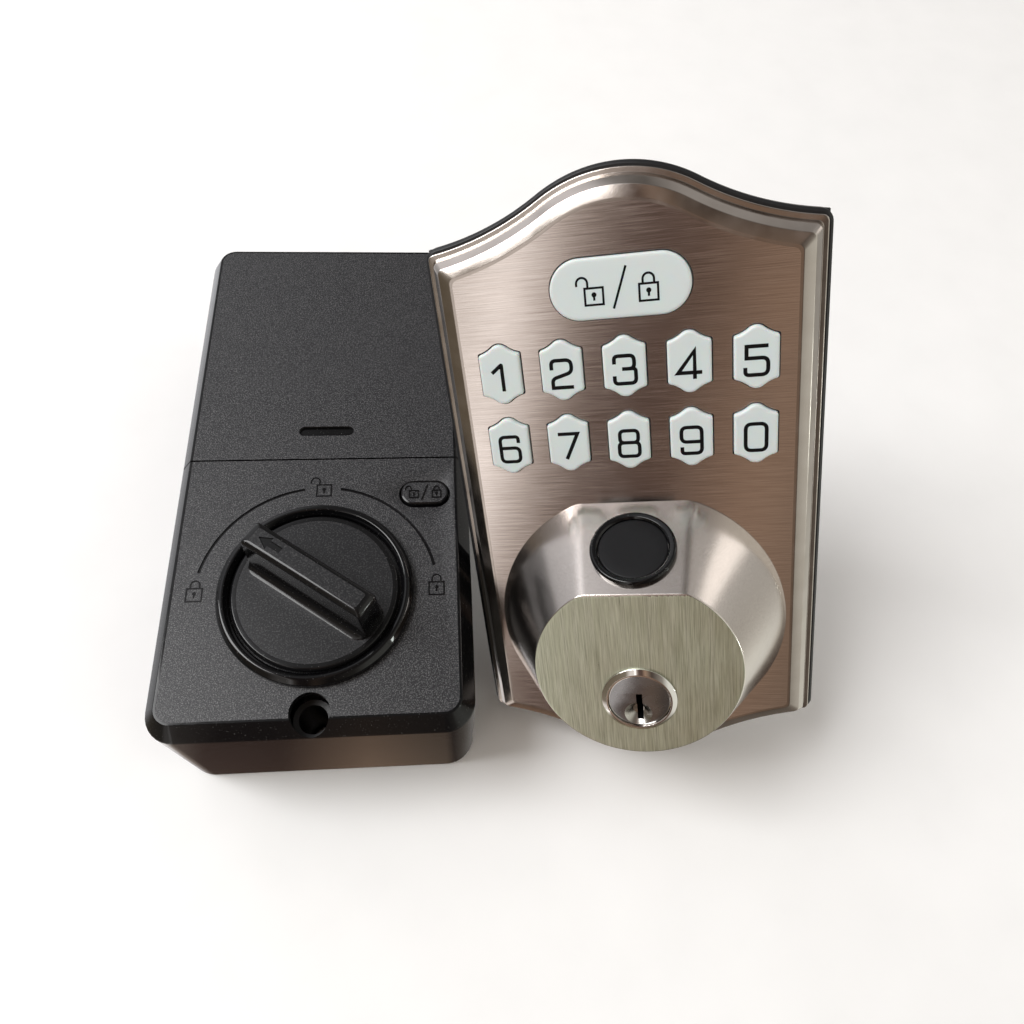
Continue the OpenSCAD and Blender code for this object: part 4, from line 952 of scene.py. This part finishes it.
def build_cylinder():
    """Key cylinder's collar and plug, with its keyway and the round dimple below."""
    collar = Shape()
    inner = PLUG_RADIUS + 0.1
    sides = [(COLLAR_RADIUS, 0), (COLLAR_RADIUS, 0.4), (inner + 0.35, 1.1), (inner, 1.08),
             (inner, 0)]
    collar.turned_ring([(radius, height + DISC)
                        for radius, height in softened(sides, COLLAR_SOFT)])
    collar.piece("collar", "base", [chrome], EXTERIOR, ("cylinder_collar",), 50)
    plug = Shape()
    rear = node_heights("cylinder_plug")[0]
    loops = plug.lathe([(0, rear), (PLUG_RADIUS, rear)]
                       + [(PLUG_RADIUS - inset, PLUG_FRONT - drop) for inset, drop in PLUG_EDGE])
    plug.fill([loops[-1]], 2)
    above = PLUG_FRONT + 1.0
    # The keyway's walls take the black ink material: painted shade inside the slot.
    slot = Shape()
    slot.prism([(-SLOT_HALF, SLOT_LOW), (SLOT_HALF, SLOT_LOW), (SLOT_HALF, SLOT_HIGH),
                (-SLOT_HALF, SLOT_HIGH)], PLUG_FRONT - SLOT_DEPTH, above, 1)
    dimple = drill(DIMPLE, [(radius, PLUG_FRONT - drop) for radius, drop in DIMPLE_SIDES]
                   + [(DIMPLE_RADIUS, above)], 3)
    plug.piece("plug", "plug_body", [chrome, ink_and_keyway_shade, plug_face, dimple_side], EXTERIOR,
               ("cylinder_plug",), 30, [dimple, slot])


# ---------------- interior unit

def cover_outline(inset, upper, steps=8):
    """Outline of one cover of the interior unit, inset on its three outer sides."""
    half = CASE_HALF - inset
    corner = max(0.4, CASE_CORNER - inset)
    if upper:
        seam = SPLIT + SPLIT_GAP / 2
        high = CASE_HIGH - inset
        return ([(half, seam)] + arc(half - corner, high - corner, corner, 0, 90, steps)
                + arc(corner - half, high - corner, corner, 90, 180, steps) + [(-half, seam)])
    seam = SPLIT - SPLIT_GAP / 2
    low = CASE_LOW + inset
    return ([(-half, seam)] + arc(corner - half, low + corner, corner, 180, 270, steps)
            + arc(half - corner, low + corner, corner, 270, 360, steps) + [(half, seam)])


def cover_shell(shape, base, upper, holes, rear_holes):
    """Bevelled shell of one cover, with its textured face cut by holes."""
    edge = [(0, base), (0, CASE_TOP - BEVEL[1]), (BEVEL[0], CASE_TOP), (BEVEL[0] + 0.6, CASE_TOP)]
    rings = shape.stack(lambda inset: cover_outline(inset, upper),
                        softened(edge, BEVEL_SOFT, steps=5), 1)
    shape.fill([rings[-1]] + holes, 0)
    ceiling = CASE_TOP - CASE_WALL
    lining = [(CASE_WALL + LINING_SLOPE[0], ceiling), (CASE_WALL, ceiling - LINING_SLOPE[1]),
              (CASE_WALL, base)]
    walls = shape.stack(lambda inset: cover_outline(inset, upper), lining, 2)
    shape.fill([walls[0]] + rear_holes, 2, down=True)
    shape.band(walls[-1], rings[0], 2)


def groove(shape, outline, depth, material):
    """A sunk shape in the case's face. Returns its loop at the face."""
    top = shape.loop(outline, CASE_TOP)
    floor = shape.loop(outline, CASE_TOP - depth)
    shape.band(floor, top, material)
    shape.fill([floor], material)
    return top


def dial_band(start, end):
    """Outline of one dial line, between two angles in degrees."""
    inner, outer = DIAL_RADII
    return arc(0, 0, outer, start, end, 40) + arc(0, 0, inner, end, start, 40)


def build_front_cover():
    """Lower cover: textured face with the sunk dial lines, its hole, and the signs."""
    shape = Shape()
    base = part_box("int_front_cover")[0].z / MM
    tops = [groove(shape, dial_band(*span), DIAL_DEPTH, 3) for span in DIAL_LINES]
    pocket = shape.stack(lambda grow: pill(BUTTON_SIZE, grow, BUTTON),
                         [(grow, CASE_TOP - drop) for grow, drop in BUTTON_POCKET], 1)
    shaft = [shape.loop(circle(SHAFT_HOLE), CASE_TOP - drop) for drop in (0.0, CASE_WALL)]
    shape.loft(shaft, 2)
    cover_shell(shape, base, False, tops + [pocket[0], shaft[0]], [pocket[-1], shaft[1]])
    hole = drill(FACE_HOLE, [(0, HOLE_FLOOR), (HOLE_RADIUS, HOLE_FLOOR),
                             (HOLE_RADIUS, CASE_TOP + 1)], 1)
    shape.piece("front_cover", "base",
                [case_face, case_gloss, black_plastic, mark_gloss], INTERIOR,
                ("int_front_cover",), 45, [hole])
    guide = Shape()
    guide.turned_ring([(HOLE_RADIUS - inset, height) for inset, height in SLEEVE], 64, FACE_HOLE)
    guide.piece("hole_sleeve", "base", [black_plastic], INTERIOR)
    signs = Shape()
    draw_locks(signs, DIAL_LOCKS, 3.8, 0.36, CASE_TOP - DIAL_LOCK_RISE, CASE_TOP + DIAL_LOCK_RISE)
    signs.piece("dial_signs", "base", [mark_gloss], INTERIOR)


def build_seam_lip():
    """Lip of the front cover that laps behind the seam of the battery cover."""
    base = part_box("int_front_cover")[0].z / MM
    half = CASE_HALF - CASE_WALL - LIP_CLEAR
    high = CASE_TOP - CASE_WALL - LIP_CLEAR
    shoulder = half - LINING_SLOPE[0]
    eaves = high - LINING_SLOPE[1]
    thick = LIP_THICK
    outer = [(half, base), (half, eaves), (shoulder, high), (-shoulder, high), (-half, eaves),
             (-half, base)]
    inner = [(half - thick, base), (half - thick, eaves), (shoulder - thick, high - thick),
             (thick - shoulder, high - thick), (thick - half, eaves), (thick - half, base)]
    lip = Shape()
    lip.prism(outer + inner[::-1], -SPLIT - LIP_LAP, LIP_LAP - SPLIT)
    upright = INTERIOR @ Matrix.Rotation(radians(90), 4, "X")
    lip.piece("seam_lip", "base", [black_plastic], upright)


def build_battery_cover():
    """Upper cover with its finger grip."""
    shape = Shape()
    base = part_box("battery_cover")[0].z / MM
    grip = shape.stack(lambda grow: pill(GRIP_SIZE, grow, GRIP),
                       [(grow, CASE_TOP - drop) for grow, drop in GRIP_SIDES], 1)
    shape.fill([grip[-1]], 1)
    cover_shell(shape, base, True, [grip[0]], [])
    shape.piece("battery_lid", "battery_cover_body",
                [case_face, case_gloss, black_plastic], INTERIOR, ("battery_cover",), 45)


def build_ring():
    """Glossy ring round the thumb turn."""
    shape = Shape()
    sides = [(RING_OUTER, 0), (RING_OUTER, RING_SHOULDER), (RING_OUTER - 1.0, RING_TOP),
             (RING_INNER + 0.9, RING_TOP), (RING_INNER, RING_SHOULDER), (RING_INNER, 0)]
    profile = softened(sides, RING_SOFT, steps=6)
    shape.turned_ring([(radius, CASE_TOP + height) for radius, height in profile], 160)
    shape.piece("dial_ring", "base", [ring_gloss], INTERIOR, ("knob_ring",), 60)


def lever_sections():
    """(half length, half width, corner, height) up the lever, from its flared foot to its top."""
    half = LEVER_WIDTH / 2
    rise = LEVER_TOP - TURN_TOP
    end = LEVER_HALF - 0.1
    roll = LEVER_ROLL
    sections = []
    for grow, height in LEVER_FOOT:
        length = LEVER_HALF + LEVER_FLARE - LEVER_DRAFT * height / rise
        corner = LEVER_CORNER + LEVER_FOOT_CORNER * grow
        sections.append((length, half + grow, corner, TURN_TOP + height))
    sections.append((end, half, LEVER_CORNER, LEVER_TOP - roll["height"]))
    for step in range(1, roll["steps"] + 1):
        turn = radians(90 * step / roll["steps"])
        sections.append((end - roll["end"] * (1 - cos(turn)),
                         half - roll["side"] * (1 - cos(turn)),
                         LEVER_CORNER - roll["corner"] * step / roll["steps"],
                         LEVER_TOP - roll["height"] + roll["height"] * sin(turn)))
    return sections


def build_turn():
    """Thumb turn: satin disc, and a lever with gloss sides, flared feet and a sunk arrow."""
    place = INTERIOR @ Matrix.Rotation(radians(LEVER_ANGLE), 4, "Z")
    disc = Shape()
    sides = [(TURN_RADIUS, TURN_FLOOR), (TURN_RADIUS, TURN_TOP - 0.5),
             (TURN_RADIUS - 0.5, TURN_TOP), (TURN_RADIUS - 1.5, TURN_TOP)]
    loops = disc.lathe([(0, TURN_FLOOR)] + softened(sides, TURN_SOFT), 144)
    disc.fill([loops[-1]], 1)
    rings = [disc.loop(rounded_box(x, y, corner, steps=6), height)
             for x, y, corner, height in lever_sections()]
    disc.loft(rings, 2)
    tip = LEVER_HALF - ARROW_TIP
    neck, wing = tip - ARROW_HEAD[0], ARROW_HEAD[1]
    tail, stem = tip - ARROW_TAIL[0], ARROW_TAIL[1]
    arrow = [(tip, 0.0), (neck, wing), (neck, stem), (tail, stem), (tail, -stem), (neck, -stem),
             (neck, -wing)]
    lip = disc.loop(arrow, LEVER_TOP)
    sunk = disc.loop(offset(arrow, ARROW_SLOPE, True), LEVER_TOP - ARROW_DEPTH)
    disc.band(lip, sunk, 2)
    disc.fill([sunk], 2)
    disc.fill([rings[-1], lip], 1)
    disc.piece("turn", "thumb_turn_body", [turn_side, turn_satin, turn_side],
               place, ("thumb_turn",), 50)


def build_button():
    """Face button with its raised signs."""
    shape = Shape()
    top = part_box("int_button")[1].z / MM - BUTTON_CLEAR
    flange, below, thick = BUTTON_FLANGE
    low = CASE_TOP - CASE_WALL - below
    sides = [(flange, low), (flange, low + thick), (0.0, low + thick)]
    sides += [(grow, top - drop) for grow, drop in BUTTON_EDGE]
    loops = shape.stack(lambda grow: pill(BUTTON_SIZE, grow, BUTTON), sides, 1)
    shape.fill([loops[0]], 1, down=True)
    shape.fill([loops[-1]], 0)
    shape.piece("face_button", "face_button_body", [case_face, turn_side],
                INTERIOR, ("int_button",))
    signs = Shape()
    low, high = top - PRINT_SUNK, top + BUTTON_SIGN_RISE
    draw_locks(signs, BUTTON_LOCKS, 2.4, 0.3, low, high)
    signs.stroke(moved(BUTTON_SLASH, BUTTON), 0.32, low, high)
    signs.piece("face_button_signs", "face_button_body", [mark_gloss], INTERIOR)


# ---------------- CAD nodes that stay

KEPT = {
    black_plastic: ("int_chassis", "position_switches", "keypad_switches", "board_parts",
                    "fingerprint_pcb"),
    foam: ("ext_gasket",),
    silicone: ("keypad_mat",),
    steel: ("bolt_posts", "ext_screws", "int_screws", "pin_springs", "driver_pins",
            "tailpiece", "tailpiece_clip", "hub_clip", "idler_shaft", "worm", "motor",
            "battery_contacts"),
    zinc: ("mounting_plate", "gear_bridge"),
    brass: ("lock_cylinder_body", "key_pins"),
    board: ("keypad_pcb", "interior_pcb", "button_pcb"),
    nylon: ("ext_header", "int_header", "turn_hub", "output_gear", "worm_wheel",
            "int_button_switch"),
    sleeve: ("battery_1", "battery_2", "battery_3", "battery_4"),
}


def dress_nodes():
    """Gives each CAD node that stays its material."""
    for material, names in KEPT.items():
        for name in names:
            node = frame["nodes"][name]
            node.data.materials.clear()
            node.data.materials.append(material)


# ---------------- camera, light and floor

CAMERA_PLACE = (0.0301, -0.072, 0.2107)
CAMERA_TURN = (28.23, -3.505, -3.281)
CAMERA_LENS = 28.125


def build_camera():
    """The photograph's view: from above the lower end of the interior unit."""
    camera = bpy.data.cameras.new("camera")
    camera.lens = CAMERA_LENS
    camera.sensor_width = 36.0
    camera.clip_start = 0.005
    holder = added("camera", camera)
    holder.location = CAMERA_PLACE
    holder.rotation_euler = Euler([radians(turn) for turn in CAMERA_TURN])
    bpy.context.scene.camera = holder


# Name, place in metres, size in metres, power in watts and colour
LIGHTS = (("ceiling", (-0.85, 0.12, 1.1), (0.6, 0.9), 16.0, (1.0, 1.0, 1.0)),
          ("side", (1.0, 0.36, 0.46), (0.22, 0.5), 0.35, (1.0, 0.95, 0.9)),
          ("pane", (1.25, -0.5, 0.16), (0.1, 0.2), 1.3, (0.93, 1.0, 0.95)))


def build_light(name, spot, aim, size, power, colour):
    """One rectangular soft light, aimed at a point."""
    light = bpy.data.lights.new(name, "AREA")
    light.shape = "RECTANGLE"
    light.size, light.size_y = size
    light.energy = power
    light.color = colour
    holder = added(name, light)
    holder.location = spot
    holder.rotation_euler = (Vector(aim) - Vector(spot)).to_track_quat("-Z", "Y").to_euler()


def build_surroundings():
    """Pale floor under the object, three soft lights and the room seen in reflections."""
    low, high = CAD_BOX
    middle = (low + high) / 2
    shape = Shape()
    top = low.z / MM - 0.02
    shape.prism(rounded_box(2500, 2500, 200), top - 5.0, top)
    pale = moulded("pale_floor", (0.97, 0.97, 0.97), (0.8, 0.9), 2.0, 0.002)
    mesh = shape.mesh("floor", [pale])
    mesh.transform(INTERIOR)
    floor = added("floor", mesh)
    floor.visible_glossy = False
    for name, spot, size, power, colour in LIGHTS:
        build_light(name, spot, middle, size, power, colour)
    bpy.context.scene.world = room()
    bpy.context.scene.view_settings.view_transform = "Standard"


# The room's walls as seen in reflections: (x of the direction, colour), from left to right
FRONT_WALL = ((-1.0, (0.16, 0.13, 0.09)), (-0.68, (0.25, 0.21, 0.16)), (-0.56, (0.9, 0.83, 0.78)),
              (-0.46, (0.95, 0.88, 0.82)), (-0.41, (1.9, 1.82, 1.76)), (-0.36, (0.5, 0.41, 0.35)),
              (-0.3, (0.13, 0.085, 0.07)), (-0.2, (0.11, 0.07, 0.055)), (-0.09, (0.4, 0.27, 0.19)),
              (0.0, (0.24, 0.175, 0.13)), (0.12, (0.08, 0.06, 0.05)), (0.45, (0.3, 0.27, 0.23)),
              (0.62, (0.85, 0.84, 0.76)), (0.85, (0.95, 0.95, 0.86)), (1.0, (0.5, 0.48, 0.42)))
BACK_WALL = ((-1.0, (0.3, 0.3, 0.3)), (-0.45, (1.3, 1.3, 1.34)), (-0.26, (0.9, 0.9, 0.92)),
             (-0.14, (0.3, 0.29, 0.28)), (0.1, (0.16, 0.15, 0.14)), (0.4, (0.5, 0.48, 0.46)),
             (1.0, (0.5, 0.49, 0.46)))
WALL_BLEND = (-0.15, 0.3)
BACKDROP = (0.93, 0.93, 0.93)


def room():
    """World seen in reflections: pale at the front left, brown to its right, plain to the eye."""
    world = bpy.data.worlds.new("room")
    world.use_nodes = True
    tree = world.node_tree
    tree.nodes.clear()

    def add(kind, **settings):
        made = tree.nodes.new("ShaderNode" + kind)
        for key, value in settings.items():
            setattr(made, key, value)
        return made

    link = tree.links.new
    split = add("SeparateXYZ")
    link(add("TexCoord").outputs["Generated"], split.inputs[0])
    across = add("MapRange")
    across.inputs["From Min"].default_value = -1.0
    link(split.outputs["X"], across.inputs["Value"])
    ramps = []
    for wall in (FRONT_WALL, BACK_WALL):
        ramp = add("ValToRGB")
        while len(ramp.color_ramp.elements) < len(wall):
            ramp.color_ramp.elements.new(0.5)
        for stop, (place, colour) in zip(ramp.color_ramp.elements, wall):
            stop.position = (place + 1) / 2
            stop.color = (*colour, 1.0)
        link(across.outputs[0], ramp.inputs[0])
        ramps.append(ramp)
    depth = add("MapRange", interpolation_type="SMOOTHSTEP")
    depth.inputs["From Min"].default_value, depth.inputs["From Max"].default_value = WALL_BLEND
    link(split.outputs["Y"], depth.inputs["Value"])
    blend = add("Mix", data_type="RGBA")
    link(depth.outputs[0], blend.inputs[0])
    link(ramps[0].outputs[0], blend.inputs[6])
    link(ramps[1].outputs[0], blend.inputs[7])
    seen = add("Mix", data_type="RGBA")
    link(add("LightPath").outputs["Is Camera Ray"], seen.inputs[0])
    link(blend.outputs[2], seen.inputs[6])
    seen.inputs[7].default_value = (*BACKDROP, 1.0)
    glow = add("Background")
    link(seen.outputs[2], glow.inputs["Color"])
    link(glow.outputs[0], add("OutputWorld").inputs["Surface"])
    return world


build_camera()
build_surroundings()
build_plate()
build_back_housing()
build_boss()
build_keys()
build_reader()
build_cylinder()
build_front_cover()
build_seam_lip()
build_battery_cover()
build_ring()
build_turn()
build_button()
dress_nodes()
